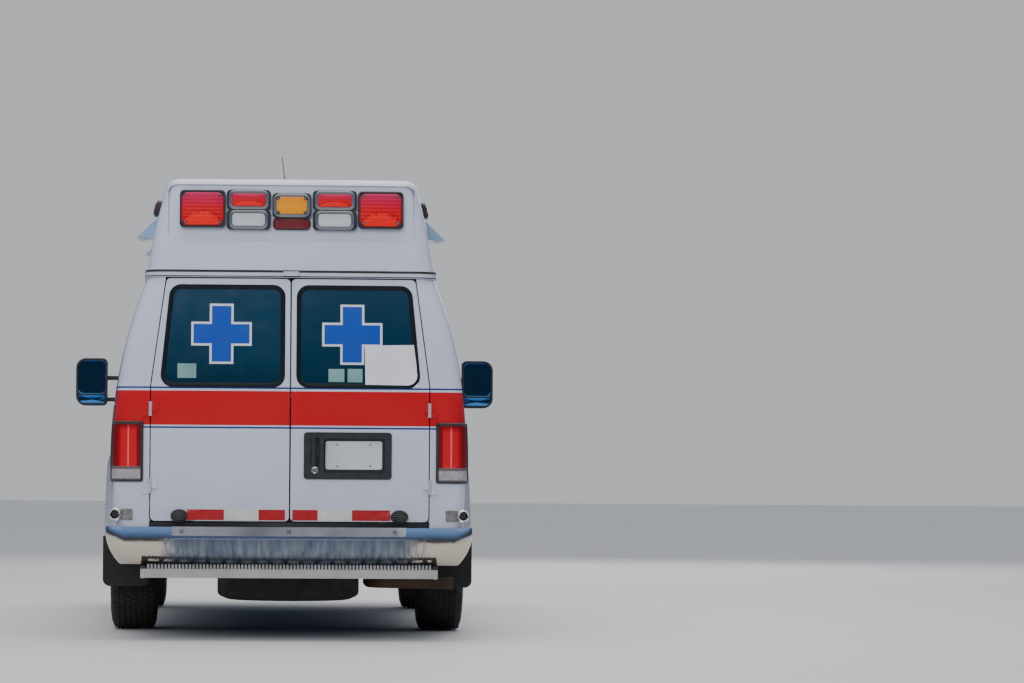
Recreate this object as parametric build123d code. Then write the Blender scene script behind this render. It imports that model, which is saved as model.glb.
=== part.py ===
from build123d import *
import math
import os

# Van ambulance with a raised fibreglass roof, at its real size in millimetres.
# +Y is forward, +X is the vehicle's right side, +Z is up, and the tyres stand on Z 0.

# Overall sizes
LENGTH = 6012.0
BODY_WIDTH = 2017.0
ROOF_TOP = 2480.0
BELT = 1300.0
ROOF_SEAM = 1945.0
ROCKER = 360.0
TAIL_EDGE = 540.0
WALL = 45.0
SHUT_GAP = 6.0
SEAT_GAP = 0.3

# Running gear
WHEELBASE = 3505.0
FRONT_OVERHANG = 860.0
FRONT_TRACK = 1763.0
REAR_TRACK = 1725.0
TYRE_RADIUS = 387.0
TYRE_WIDTH = 260.0
RIM_RADIUS = 206.0
RIM_WIDTH = 190.0
ARCH_RADIUS = 435.0
KINGPIN_OFFSET = 82.0
KINGPIN_RADIUS = 22.0
KINGPIN_CLEARANCE = 0.05
SPINDLE_RADIUS = 28.0

# Places along the body
BUMPER_DEPTH = 176.0
DOOR_FRONT = 1686.0
B_PILLAR_FRONT = 726.0
B_PILLAR_REAR = 615.0
SIDE_DOOR_SPLIT = -3.0
SIDE_DOOR_REAR = -500.0
TAPER_START = -900.0
WINDSCREEN_BASE = 2010.0
COWL_TOP = 2050.0
NOSE_LENGTH = 1214.0

# Heights of openings and floors
DOOR_SILL = 452.0
DOOR_HEAD = ROOF_SEAM - 7.0
SIDE_DOOR_HEAD = 1900.0
REAR_SILL = 635.0
REAR_DOOR_HALF = 746.0
FLOOR_TOP = 740.0
CAB_FLOOR_TOP = 660.0
FLOOR_THICKNESS = 40.0
WHEELHOUSE_INNER = 660.0
WHEELHOUSE_RADIUS = 470.0
SHEET = 12.0
GLASS_DEPTH = 6.0
GLASS_THICKNESS = 5.0

# Chassis
RAIL_X = 432.0
RAIL_WIDTH = 70.0
RAIL_HEIGHT = 150.0
RAIL_SHEET = 8.0

HALF_WIDTH = BODY_WIDTH / 2
FRONT_Y = LENGTH / 2
REAR_Y = -LENGTH / 2
FRONT_AXLE_Y = FRONT_Y - FRONT_OVERHANG
REAR_AXLE_Y = FRONT_AXLE_Y - WHEELBASE
AXLE_Z = TYRE_RADIUS
TAIL_Y = REAR_Y + BUMPER_DEPTH
NOSE_Y = DOOR_FRONT + NOSE_LENGTH
KINGPIN_X = FRONT_TRACK / 2 - KINGPIN_OFFSET
REACH = LENGTH

# Plan sections of the body. Columns: height, inset of the side amidships, inset at the rear corner,
# forward lean of the rear face, rear corner radius.
LOWER_LEVELS = (
    (ROCKER, 62, 104, 0, 70),
    (700, 14, 70, 0, 72),
    (1000, 0, 66, 0, 75),
    (BELT, 26, 80, 0, 90),
)
# Further columns for the cab end: windscreen retreat, plan bow, front corner radius.
UPPER_LEVELS = (
    (BELT, 26, 80, 0, 90, 0, 170, 90),
    (1630, 95, 137, 20, 105, 320, 155, 90),
    (ROOF_SEAM, 207, 240, 58, 120, 610, 140, 90),
)
REAR_BOW = 18.0

# Plan sections of the raised roof. Columns as above, and the height is measured from the seam.
ROOF_LEVELS = (
    (40, 218, 240, 62, 120, 590, 140, 110),
    (255, 258, 274, 85, 125, 850, 130, 120),
    (ROOF_TOP - ROOF_SEAM, 335, 345, 118, 125, 1160, 120, 130),
)
FLANGE_HEIGHT = 40.0
FLANGE_PROUD = 12.0
ROOF_WALL = 30.0
ROOF_EDGE_RADIUS = 58.0
PANEL_DEPTH = 9.0


def plan_face(z, half, rear_half, rear_y, front_y, corner, bow=0.0, front_corner=0.0):
    """Outline of the body seen from above at one height: bowed tail, tapered sides, bowed or flat front."""
    rear_side = (rear_half, rear_y + REAR_BOW)
    front_side = (half, front_y - bow)
    edges = []
    for s in (1, -1):
        edges.append(Line((s * half, TAPER_START), (s * half, front_side[1])))
        edges.append(TangentArc((s * half, TAPER_START), (s * rear_side[0], rear_side[1]), tangent=(0, -1)))
    edges.append(ThreePointArc((-rear_side[0], rear_side[1]), (0, rear_y), rear_side))
    if bow:
        edges.append(ThreePointArc((-half, front_side[1]), (0, front_y), front_side))
    else:
        edges.append(Line((-half, front_side[1]), front_side))
    face = make_face(edges)
    low = [v for v in face.vertices() if v.Y < rear_side[1] + 1]
    face = fillet(low, corner)
    if front_corner:
        high = [v for v in face.vertices() if v.Y > front_side[1] - 1]
        face = fillet(high, front_corner)
    return Pos(0, 0, z) * face


def level_face(row, inset, z_shift=0.0):
    """One plan section of a level table, moved inwards by the inset."""
    z, side, rear, lean, corner, *cab = row
    retreat, bow, front_corner = cab or (WINDSCREEN_BASE - DOOR_FRONT, 0, 0)
    return plan_face(
        z + z_shift,
        HALF_WIDTH - side - inset,
        HALF_WIDTH - rear - inset,
        TAIL_Y + lean + inset,
        WINDSCREEN_BASE - retreat - inset,
        corner - inset,
        bow,
        front_corner - inset if front_corner else 0,
    )


def memo(build):
    """Keeps each solid that a builder function has made, by its arguments."""
    made = {}

    def fetch(*key):
        if key not in made:
            made[key] = build(*key)
        return made[key]

    return fetch


@memo
def lower_body(inset):
    return loft([level_face(row, inset) for row in LOWER_LEVELS])


@memo
def upper_body(inset):
    return loft([level_face(row, inset) for row in UPPER_LEVELS])


@memo
def roof_shape(inset):
    """The raised roof as a solid, with its top edges rounded."""
    rows = [level_face(row, inset, ROOF_SEAM) for row in ROOF_LEVELS]
    rows[-1] = Pos(0, 0, -max(inset, 0)) * rows[-1]
    solid = loft(rows)
    top = solid.faces().sort_by(Axis.Z)[-1]
    return fillet(top.edges(), ROOF_EDGE_RADIUS - max(inset, 0))


@memo
def body_core(inset):
    """Everything inside the body's skin from one depth inwards."""
    return lower_body(inset) + upper_body(inset)


@memo
def body_layer(outer, inner):
    """The body's skin between two depths, lower and upper part."""
    low = lower_body(outer) - lower_body(inner)
    high = upper_body(outer) - upper_body(inner)
    return low + high


def block(x0, x1, y0, y1, z0, z1):
    return Pos((x0 + x1) / 2, (y0 + y1) / 2, (z0 + z1) / 2) * Box(x1 - x0, y1 - y0, z1 - z0)


def side_prism(points, radius, x0, x1):
    """A prism along X from an outline of (y, z) points."""
    face = make_face(Polyline(*points, close=True))
    if radius:
        face = fillet(face.vertices(), radius)
    plane = Plane(origin=(x0, 0, 0), x_dir=(0, 1, 0), z_dir=(1, 0, 0))
    return extrude(plane * face, x1 - x0)


def end_prism(points, radius, y0, y1):
    """A prism along Y from an outline of (x, z) points."""
    face = make_face(Polyline(*points, close=True))
    if radius:
        face = fillet(face.vertices(), radius)
    plane = Plane(origin=(0, y1, 0), x_dir=(1, 0, 0), z_dir=(0, -1, 0))
    return extrude(plane * face, y1 - y0)


def grow(points, by):
    """A convex outline moved outwards by a distance, with its corners kept."""
    n = len(points)
    ahead = points[1:] + points[:1]
    area = sum(x0 * y1 - x1 * y0 for (x0, y0), (x1, y1) in zip(points, ahead))
    turn = 1 if area > 0 else -1
    lines = []
    for i in range(n):
        (ax, ay), (bx, by_) = points[i], points[(i + 1) % n]
        length = math.hypot(bx - ax, by_ - ay)
        nx, ny = turn * (by_ - ay) / length, -turn * (bx - ax) / length
        lines.append((nx, ny, nx * ax + ny * ay + by))
    moved = []
    for i in range(n):
        (a, b, c), (d, e, f) = lines[i - 1], lines[i]
        det = a * e - b * d
        moved.append(((c * e - b * f) / det, (a * f - c * d) / det))
    return moved


def rect(x0, x1, z0, z1):
    return [(x0, z0), (x1, z0), (x1, z1), (x0, z1)]


def flip(shape):
    return mirror(shape, about=Plane.YZ)


def cylinder_x(x0, x1, y, z, radius):
    return Pos((x0 + x1) / 2, y, z) * Rot(0, 90, 0) * Cylinder(radius, x1 - x0)


def cylinder_z(x, y, z0, z1, radius):
    return Pos(x, y, (z0 + z1) / 2) * Cylinder(radius, z1 - z0)


# Door outlines
PILLAR_TOP = 1130.0
CAB_DOOR = [
    (B_PILLAR_FRONT, DOOR_SILL),
    (DOOR_FRONT - SHUT_GAP, DOOR_SILL),
    (DOOR_FRONT - SHUT_GAP, BELT),
    (PILLAR_TOP, DOOR_HEAD),
    (B_PILLAR_FRONT, DOOR_HEAD),
]
CAB_WINDOW = [
    (B_PILLAR_FRONT + 75, BELT + 60),
    (DOOR_FRONT - 150, BELT + 60),
    (PILLAR_TOP + 5, DOOR_HEAD - 75),
    (B_PILLAR_FRONT + 75, DOOR_HEAD - 75),
]
SIDE_FRONT = rect(SIDE_DOOR_SPLIT + SHUT_GAP / 2, B_PILLAR_REAR, DOOR_SILL, SIDE_DOOR_HEAD)
SIDE_REAR = rect(SIDE_DOOR_REAR, SIDE_DOOR_SPLIT - SHUT_GAP / 2, DOOR_SILL, SIDE_DOOR_HEAD)
SIDE_OPENING = rect(SIDE_DOOR_REAR, B_PILLAR_REAR, DOOR_SILL, SIDE_DOOR_HEAD)
SIDE_WINDOW_INSET = 85.0
REAR_TOP_HALF = 668.0
REAR_DOOR = [
    (SHUT_GAP / 2 + 1, REAR_SILL),
    (REAR_DOOR_HALF, REAR_SILL),
    (REAR_DOOR_HALF, BELT + 60),
    (REAR_TOP_HALF, DOOR_HEAD),
    (SHUT_GAP / 2 + 1, DOOR_HEAD),
]
REAR_SLANT = (REAR_DOOR_HALF - REAR_TOP_HALF) / (DOOR_HEAD - BELT - 60)
OPENING_TOP = ROOF_SEAM + 40.0
OPENING_TOP_HALF = REAR_TOP_HALF - REAR_SLANT * (OPENING_TOP - DOOR_HEAD)
REAR_OPENING = [
    (-REAR_DOOR_HALF, REAR_SILL),
    (REAR_DOOR_HALF, REAR_SILL),
    (REAR_DOOR_HALF, BELT + 60),
    (OPENING_TOP_HALF, OPENING_TOP),
    (-OPENING_TOP_HALF, OPENING_TOP),
    (-REAR_DOOR_HALF, BELT + 60),
]
REAR_WINDOW = [(40, BELT + 62), (692, BELT + 62), (640, DOOR_HEAD - 42), (40, DOOR_HEAD - 42)]
WINDOW_RADIUS = 55.0
DOOR_RADIUS = 24.0
TAIL_LAMP = rect(788, HALF_WIDTH, 845, 1166)
TAIL_ZONE = TAIL_Y + 260.0
LAMP_POCKET = 34.0


def skin():
    return body_layer(0, WALL)


def glass_layer():
    return body_layer(GLASS_DEPTH, GLASS_DEPTH + GLASS_THICKNESS)


# Each hinge has a barrel on the shut line outside the skin: the lower third with its leaf is on the body,
# the rest with its leaf is on the door.
HINGE_RADIUS = 8.0
HINGE_LENGTH = 78.0
HINGE_LEAF = 40.0
HINGE_SHARE = 1 / 3
REAR_HINGES = (820.0, 1235.0)
SIDE_HINGES = (700.0, 1150.0)
REAR_HINGE_X = REAR_DOOR_HALF + SHUT_GAP / 2
REAR_HINGE_Y = TAIL_Y + 1.0
SIDE_HINGE_X = HALF_WIDTH + 9.0
CAB_HINGE_RADIUS = 5.0
CAB_HINGE_X = HALF_WIDTH + 4.0
CAB_HINGE_Y = DOOR_FRONT - SHUT_GAP / 2


def hinge_half(x, y, z, radius, leaf_end, on_door):
    """One half of a hinge: its part of the barrel, and a leaf whose far corner is leaf_end."""
    bottom, top = z - HINGE_LENGTH / 2, z + HINGE_LENGTH / 2
    split = bottom + HINGE_LENGTH * HINGE_SHARE
    z0, z1 = (split + SEAT_GAP, top) if on_door else (bottom, split)
    xs, ys = sorted((x, leaf_end[0])), sorted((y, leaf_end[1]))
    leaf = block(*xs, *ys, z0, z1) - lower_body(0) - nose_shape(0)
    return cylinder_z(x, y, z0, z1, radius) + leaf


def rear_hinge(z, on_door):
    toward = -1 if on_door else 1
    end = (REAR_HINGE_X + toward * HINGE_LEAF, TAIL_Y + 30)
    return hinge_half(REAR_HINGE_X, REAR_HINGE_Y, z, HINGE_RADIUS, end, on_door)


def side_hinge(y, toward, z, on_door):
    end = (SIDE_HINGE_X - 40, y + (toward if on_door else -toward) * HINGE_LEAF)
    return hinge_half(SIDE_HINGE_X, y, z, HINGE_RADIUS, end, on_door)


def cab_hinge(z, on_door):
    end = (CAB_HINGE_X - 60, CAB_HINGE_Y + (-1 if on_door else 1) * HINGE_LEAF / 2)
    return hinge_half(CAB_HINGE_X, CAB_HINGE_Y, z, CAB_HINGE_RADIUS, end, on_door)


# Rear doors
BUFFER_X = 590.0
BUFFER_Z = 662.0
PLATE_BEZEL = rect(74, 546, 862, 1114)


def rear_door(side):
    """One rear door: 1 for the right, -1 for the left."""
    door = skin() & end_prism(REAR_DOOR, DOOR_RADIUS, TAIL_Y - 60, TAIL_Y + 150)
    door -= end_prism(REAR_WINDOW, WINDOW_RADIUS, TAIL_Y - 60, TAIL_Y + 200)
    for z in REAR_HINGES:
        door += rear_hinge(z, True)
    buffer = Pos(BUFFER_X, TAIL_Y + 10, BUFFER_Z) * Rot(90, 0, 0) * extrude(Ellipse(44, 33), 26)
    door += buffer - lower_body(0)
    if side > 0:
        door -= end_prism(grow(PLATE_BEZEL, SEAT_GAP), 18, TAIL_Y - 60, TAIL_Y + 32)
    return door if side > 0 else flip(door)


def rear_glass(side):
    opening = end_prism(grow(REAR_WINDOW, -SEAT_GAP), WINDOW_RADIUS, TAIL_Y - 60, TAIL_Y + 200)
    pane = glass_layer() & opening
    return pane if side > 0 else flip(pane)


def plate_housing():
    """Black moulding on the right rear door with a recess for the plate and a pull handle beside it."""
    proud = lower_body(-7) & end_prism(PLATE_BEZEL, 18, TAIL_Y - 60, TAIL_Y + 31)
    x0, x1, z0, z1 = 74, 546, 862, 1114
    recess = end_prism(rect(x0 + 108, x1 - 36, z0 + 36, z1 - 34), 10, TAIL_Y - 60, TAIL_Y + 18)
    pull = end_prism(rect(x0 + 36, x0 + 86, z0 + 72, z1 - 30), 10, TAIL_Y - 60, TAIL_Y + 22)
    handle = block(x0 + 40, x0 + 62, TAIL_Y - 4, TAIL_Y + 20, z0 + 66, z1 - 24)
    return proud - recess - pull + handle


# Side doors of the patient compartment. Behind the outer lip the free edge of each is rebated, so that one
# door can swing past the other.
REBATE_LIP = 12.0
REBATE = 12.0


def side_door(points, hinge_y, toward):
    door = skin() & side_prism(points, DOOR_RADIUS, 300, REACH)
    (y0, _), (y1, _) = points[0], points[1]
    free_edge = (y0 - 1, y0 + REBATE) if toward < 0 else (y1 - REBATE, y1 + 1)
    door -= body_core(REBATE_LIP) & block(300, REACH, *free_edge, 0, REACH)
    pane = rect(y0 + SIDE_WINDOW_INSET, y1 - SIDE_WINDOW_INSET, BELT + 60, SIDE_DOOR_HEAD - 80)
    door -= side_prism(pane, WINDOW_RADIUS, 300, REACH)
    for z in SIDE_HINGES:
        door += side_hinge(hinge_y, toward, z, True)
    glass = glass_layer() & side_prism(grow(pane, -SEAT_GAP), WINDOW_RADIUS, 300, REACH)
    return door, glass


# Cab doors and mirrors
MIRROR_X = 1121.0
MIRROR_WIDTH = 198.0
MIRROR_Z = 1290.0
MIRROR_HEIGHT = 300.0
MIRROR_DEPTH = 90.0
MIRROR_Y = 1470.0
ARM_HEIGHTS = (40.0, 176.0)


def cab_door():
    door = skin() & side_prism(CAB_DOOR, DOOR_RADIUS, 300, REACH)
    door -= block(0, FIREWALL_HALF + 10, DOOR_FRONT - WALL - 1, DOOR_FRONT, 0, BELT)
    door -= side_prism(CAB_WINDOW, WINDOW_RADIUS, 300, REACH)
    for z in SIDE_HINGES:
        door += cab_hinge(z, True)
    return door


def cab_glass():
    return glass_layer() & side_prism(grow(CAB_WINDOW, -SEAT_GAP), WINDOW_RADIUS, 300, REACH)


def door_mirror():
    """Tall folding mirror on two arms, with its glass facing back."""
    x0, x1 = MIRROR_X, MIRROR_X + MIRROR_WIDTH
    z0, z1 = MIRROR_Z, MIRROR_Z + MIRROR_HEIGHT
    outline = make_face(Polyline((x0, z0), (x1, z0), (x1, z1), (x0, z1), close=True))
    outer = [v for v in outline.vertices() if v.X > MIRROR_X + 1]
    outline = fillet(outer, 62)
    inner = [v for v in outline.vertices() if v.X < MIRROR_X + 1]
    outline = fillet(inner, 30)
    plane = Plane(origin=(0, MIRROR_Y + MIRROR_DEPTH, 0), x_dir=(1, 0, 0), z_dir=(0, -1, 0))
    head = extrude(plane * outline, MIRROR_DEPTH)
    front_face = head.faces().sort_by(Axis.Y)[-1]
    head = fillet(front_face.edges(), 24)
    rear_plane = Plane(origin=(0, MIRROR_Y + 8, 0), x_dir=(1, 0, 0), z_dir=(0, -1, 0))
    head -= extrude(rear_plane * offset(outline, -12), 10)
    for arm in ARM_HEIGHTS:
        head += block(920, x0 + 20, MIRROR_Y + 30, MIRROR_Y + 62, z0 + arm - 13, z0 + arm + 13)
    head -= upper_body(-SEAT_GAP)
    head -= lower_body(-SEAT_GAP)
    return head


# Body sides and cab structure
def arch_cut(y, x0=300.0):
    return cylinder_x(x0, REACH, y, AXLE_Z, ARCH_RADIUS)


FLARE_X = 1019.0
FLARE_RADIUS = 560.0
FLARE_FOOT = 765.0


def rear_flare():
    """The swelling of the body side round the rear wheel arch."""
    depth = FLARE_X - 960.0
    cone = Rot(0, 90, 0) * Cone(FLARE_FOOT, FLARE_RADIUS, depth)
    cone = Pos(FLARE_X - depth / 2, REAR_AXLE_Y, AXLE_Z) * cone
    swelling = (cone - lower_body(1)) & block(0, REACH, -REACH, REACH, ROCKER, BELT - 100)
    return swelling - block(0, REACH, -REACH, REAR_AXLE_Y - ARCH_RADIUS + 60, 0, TAIL_EDGE)


def side_panel(right):
    """Body side from the B pillar back round the rear corner to the rear door opening."""
    panel = skin() & block(0, REACH, -REACH, B_PILLAR_FRONT - SHUT_GAP, 0, ROOF_SEAM)
    panel -= end_prism(grow(REAR_OPENING, SHUT_GAP), DOOR_RADIUS, -REACH, TAIL_ZONE)
    panel -= block(-REACH, REAR_DOOR_HALF + SHUT_GAP, -REACH, TAIL_ZONE, 0, REAR_SILL)
    panel -= block(0, REACH, -REACH, REAR_AXLE_Y - ARCH_RADIUS + 60, 0, TAIL_EDGE)
    panel += rear_flare()
    panel -= arch_cut(REAR_AXLE_Y)
    lamp_zone = end_prism(grow(TAIL_LAMP, SEAT_GAP), 0, -REACH, TAIL_Y + 130)
    panel -= lamp_zone & body_layer(-50, LAMP_POCKET + SEAT_GAP)
    for z in REAR_HINGES:
        panel += rear_hinge(z, False)
    if right:
        panel -= side_prism(grow(SIDE_OPENING, SHUT_GAP), DOOR_RADIUS, 300, REACH)
        for z in SIDE_HINGES:
            panel += side_hinge(B_PILLAR_REAR + SHUT_GAP / 2, -1, z, False)
            panel += side_hinge(SIDE_DOOR_REAR - SHUT_GAP / 2, 1, z, False)
        return panel
    return flip(panel)


def rear_sill():
    sill = lower_body(0) - lower_body(WALL)
    return sill & block(
        -REAR_DOOR_HALF - SHUT_GAP + SEAT_GAP,
        REAR_DOOR_HALF + SHUT_GAP - SEAT_GAP,
        -REACH,
        TAIL_Y + WALL + REAR_BOW + 20,
        TAIL_EDGE,
        REAR_SILL - SHUT_GAP,
    )


def tail_lamps():
    lamp = body_layer(-8, LAMP_POCKET) & end_prism(TAIL_LAMP, 0, -REACH, TAIL_Y + 130 - SEAT_GAP)
    return lamp + flip(lamp)


ENGINE_HALF = 300.0
TUNNEL_HALF = 330.0
TUNNEL_TOP = 1090.0
TOE_Y = 1900.0
TOE_Z0 = 850.0
TOE_Z1 = 1215.0
TOE_HALF = 790.0
FIREWALL_HALF = 930.0
PANEL = 20.0
COWL_LIP = 60.0
WINDSCREEN = [(-850, BELT + 42), (850, BELT + 42), (688, ROOF_SEAM - 45), (-688, ROOF_SEAM - 45)]


def cab_front():
    """Windscreen frame with its pillars, the cowl shelf, the firewall and the toe box."""
    frame = upper_body(0) - upper_body(WALL)
    _, _, edge_low, edge_high, _ = grow(CAB_DOOR, SHUT_GAP)
    slope = (edge_high[1] - edge_low[1]) / (edge_high[0] - edge_low[0])
    top = (edge_high[0] + (ROOF_SEAM + 40 - edge_high[1]) / slope, ROOF_SEAM + 40)
    low = (edge_low[0], BELT - 10)
    frame -= side_prism([(-REACH, BELT - 10), low, edge_low, top, (-REACH, ROOF_SEAM + 40)], 0, -REACH, REACH)
    frame -= end_prism(WINDSCREEN, 60, PILLAR_TOP - 100, REACH)
    shelf = Pos(0, 0, -COWL_LIP) * extrude(level_face(UPPER_LEVELS[0], 0), COWL_LIP)
    shelf -= block(-REACH, REACH, -REACH, DOOR_FRONT - WALL, 0, BELT + 50)
    for s in (1, -1):
        ends = sorted((s * FIREWALL_HALF, s * REACH))
        shelf -= block(*ends, 0, DOOR_FRONT + SEAT_GAP, 0, BELT + 50)
    shelf -= nose_shape(-SEAT_GAP)
    floor_line = CAB_FLOOR_TOP - FLOOR_THICKNESS
    wall = block(-FIREWALL_HALF, FIREWALL_HALF, DOOR_FRONT - WALL, DOOR_FRONT, floor_line, BELT)
    toe = block(-TOE_HALF, TOE_HALF, DOOR_FRONT - WALL, TOE_Y, TOE_Z0, TOE_Z1)
    inside = block(-TOE_HALF + PANEL, TOE_HALF - PANEL, 0, TOE_Y - PANEL, TOE_Z0 + PANEL, TOE_Z1 - PANEL)
    tunnel = block(-TUNNEL_HALF, TUNNEL_HALF, 0, REACH, 0, TUNNEL_TOP)
    return frame + shelf + (wall + toe - inside - tunnel)


def windscreen():
    pane = upper_body(GLASS_DEPTH) - upper_body(GLASS_DEPTH + GLASS_THICKNESS)
    return pane & end_prism(grow(WINDSCREEN, -SEAT_GAP), 60, PILLAR_TOP + 20, REACH)


# Floor and bulkhead
def floor_pan():
    inner = lower_body(WALL + SEAT_GAP)
    main = inner & block(-REACH, REACH, -REACH, B_PILLAR_FRONT - 26, FLOOR_TOP - FLOOR_THICKNESS, FLOOR_TOP)
    step_front = B_PILLAR_FRONT - 26
    step_rear = step_front - FLOOR_THICKNESS
    cab_under = CAB_FLOOR_TOP - FLOOR_THICKNESS
    cab_end = DOOR_FRONT - WALL - SEAT_GAP
    cab = inner & block(-REACH, REACH, step_rear, cab_end, cab_under, CAB_FLOOR_TOP)
    cab -= block(-TUNNEL_HALF, TUNNEL_HALF, COVER_REAR, REACH, 0, FLOOR_TOP)
    riser = inner & block(-REACH, REACH, step_rear, step_front, cab_under, FLOOR_TOP)
    floor = main + cab + riser
    for s in (1, -1):
        ends = sorted((s * WHEELHOUSE_INNER, s * REACH))
        inner_ends = sorted((s * (WHEELHOUSE_INNER + 20), s * REACH))
        above = block(-REACH, REACH, REAR_AXLE_Y - 600, REAR_AXLE_Y + 600, FLOOR_TOP - FLOOR_THICKNESS, REACH)
        house = cylinder_x(*ends, REAR_AXLE_Y, AXLE_Z, WHEELHOUSE_RADIUS)
        house = house & above & lower_body(WALL + SEAT_GAP)
        floor = floor + house - cylinder_x(*inner_ends, REAR_AXLE_Y, AXLE_Z, WHEELHOUSE_RADIUS - 20)
    return floor


BULKHEAD_Y = B_PILLAR_FRONT - 60.0
COVER_REAR = 960.0
PASSAGE = rect(-260, 260, FLOOR_TOP + 20, 1780)


def bulkhead():
    """Partition between cab and patient compartment, with a walk-through opening."""
    space = block(-REACH, REACH, BULKHEAD_Y - 30, BULKHEAD_Y, FLOOR_TOP + SEAT_GAP, ROOF_SEAM - 5)
    wall = body_core(WALL + SEAT_GAP) & space
    return wall - end_prism(PASSAGE, 60, 0, REACH)


def fitted(x0, x1, y0, y1, z1):
    """A piece of furniture that stands on the floor and follows the body side and the wheelhouse."""
    piece = block(x0, x1, y0, y1, FLOOR_TOP + SEAT_GAP, z1) & body_core(WALL + SEAT_GAP)
    return piece - cylinder_x(-REACH, REACH, REAR_AXLE_Y, AXLE_Z, WHEELHOUSE_RADIUS + SEAT_GAP)


def bench():
    base = fitted(430, REACH, -2300, SIDE_DOOR_REAR - 100, 1080)
    pad = fitted(415, 880, -2290, SIDE_DOOR_REAR - 110, 1160) & block(0, REACH, -REACH, REACH, 1080, 1160)
    back = fitted(820, REACH, -2290, SIDE_DOOR_REAR - 110, 1560) & block(0, REACH, -REACH, REACH, 1200, 1560)
    return base + pad + back


def cabinet():
    """Wall of lockers along the left side, with open bays."""
    case = fitted(-REACH, -560, -2400, 560, 1900)
    for y0, y1 in ((-2360, -1680), (-1640, -960), (-920, -240), (-200, 520)):
        case -= block(-880, -500, y0, y1, 1330, 1560)
        case -= block(-820, -500, y0, y1, 1600, 1860)
    return case


# Cab fittings
SEAT_X = 600.0


def cab_seats():
    cushion = block(SEAT_X - 250, SEAT_X + 250, 870, 1350, 900, 1030)
    cushion = fillet(cushion.edges().filter_by(Axis.X), 45)
    base = block(SEAT_X - 190, SEAT_X + 190, 900, 1280, CAB_FLOOR_TOP + SEAT_GAP, 905)
    back = Pos(SEAT_X, 900, 1000) * Rot(12, 0, 0) * block(-215, 215, -70, 55, 0, 600)
    back = fillet(back.edges().filter_by(Axis.X), 45)
    head = Pos(SEAT_X, 900, 1000) * Rot(12, 0, 0) * block(-130, 130, -60, 40, 590, 760)
    head = fillet(head.edges().filter_by(Axis.X), 40)
    seat = cushion + base + back + head
    return seat + flip(seat)


DASH_FRONT = DOOR_FRONT - WALL - SEAT_GAP
COLUMN_RADIUS = 32.0
WHEEL_TILT = 30.0
WHEEL_Y = 1290.0
WHEEL_Z = 1235.0
STEERING_WHEEL_RADIUS = 195.0
COLUMN_LENGTH = 240.0
DASH_HALF = HALF_WIDTH - 92.0
BINNACLE_HALF = 190.0
# Side outlines of the dashboard and of the hood over its dials
DASH_OUTLINE = [
    (1340, 1090), (1480, 980), (DASH_FRONT, 980),
    (DASH_FRONT, BELT - 30), (1430, 1270), (1345, 1180),
]
BINNACLE = [(1350, 1200), (1600, 1230), (1600, 1330), (1420, 1340)]


def wheel_place():
    return Pos(-SEAT_X, WHEEL_Y, WHEEL_Z) * Rot(WHEEL_TILT, 0, 0)


def dashboard():
    dash = side_prism(DASH_OUTLINE, 0, -DASH_HALF, DASH_HALF)
    dash += side_prism(BINNACLE, 18, -SEAT_X - BINNACLE_HALF, -SEAT_X + BINNACLE_HALF)
    dash -= block(-TUNNEL_HALF, TUNNEL_HALF, 0, REACH, 0, TUNNEL_TOP)
    return dash - wheel_place() * Pos(0, 0, -COLUMN_LENGTH / 2) * Cylinder(COLUMN_RADIUS + SEAT_GAP, COLUMN_LENGTH)


def engine_cover():
    """The cover between the cab seats that closes over the rear of the engine."""
    half = TUNNEL_HALF - SEAT_GAP
    under = CAB_FLOOR_TOP - FLOOR_THICKNESS
    cover = block(-half, half, COVER_REAR + SEAT_GAP, DASH_FRONT, under, TUNNEL_TOP - SEAT_GAP)
    edges = cover.edges().filter_by(Axis.Y).sort_by(Axis.Z)[-2:]
    cover = fillet(edges, 60)
    return cover - block(-half + PANEL, half - PANEL, COVER_REAR + PANEL, REACH, 0, TUNNEL_TOP - PANEL)


def steering_wheel():
    ring = Torus(STEERING_WHEEL_RADIUS, 15)
    hub = Cylinder(58, 40) + block(-STEERING_WHEEL_RADIUS, STEERING_WHEEL_RADIUS, -22, 22, -12, 8)
    hub += block(-22, 22, -STEERING_WHEEL_RADIUS, 0, -12, 8)
    column = Pos(0, 0, -120) * Cylinder(COLUMN_RADIUS, 220)
    return wheel_place() * (ring + hub + column)


# Nose. Columns: distance ahead of the door, half width at the sill, half width and height of the
# shoulder, height at the centre
NOSE_STATIONS = (
    (0, 954, 985, 1262, 1292),
    (420, 950, 975, 1222, 1268),
    (940, 930, 945, 1145, 1195),
    (NOSE_LENGTH, 880, 890, 1075, 1130),
)
NOSE_BOTTOM = 470.0
SHOULDER_RADIUS = 85.0
HEADER_Y = NOSE_Y - 150.0
HOOD_HALF = 760.0
HOOD_SHEET = 22.0
HOOD_HINGE_Z = 1277.0
HOOD_LIP = 1040.0


@memo
def nose_shape(inset):
    faces = []
    for ahead, sill, shoulder, side_top, top in NOSE_STATIONS:
        y = DOOR_FRONT + ahead - (inset if ahead == NOSE_LENGTH else 0)
        w0, w1 = sill - inset, shoulder - inset
        bulge = max(w0, w1) + 20 * (1 - ahead / NOSE_LENGTH)
        z0, z1, zt = NOSE_BOTTOM, side_top - inset, top - inset
        edges = [
            Line((-w0, z0), (w0, z0)),
            ThreePointArc((w0, z0), (bulge, (z0 + z1) / 2 + 40), (w1, z1)),
            ThreePointArc((w1, z1), (0, zt), (-w1, z1)),
            ThreePointArc((-w1, z1), (-bulge, (z0 + z1) / 2 + 40), (-w0, z0)),
        ]
        face = make_face(edges)
        top_corners = [v for v in face.vertices() if v.Y > z0 + 1]
        face = fillet(top_corners, SHOULDER_RADIUS - inset)
        plane = Plane(origin=(0, y, 0), x_dir=(-1, 0, 0), z_dir=(0, 1, 0))
        faces.append(plane * face)
    return loft(faces)


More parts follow.
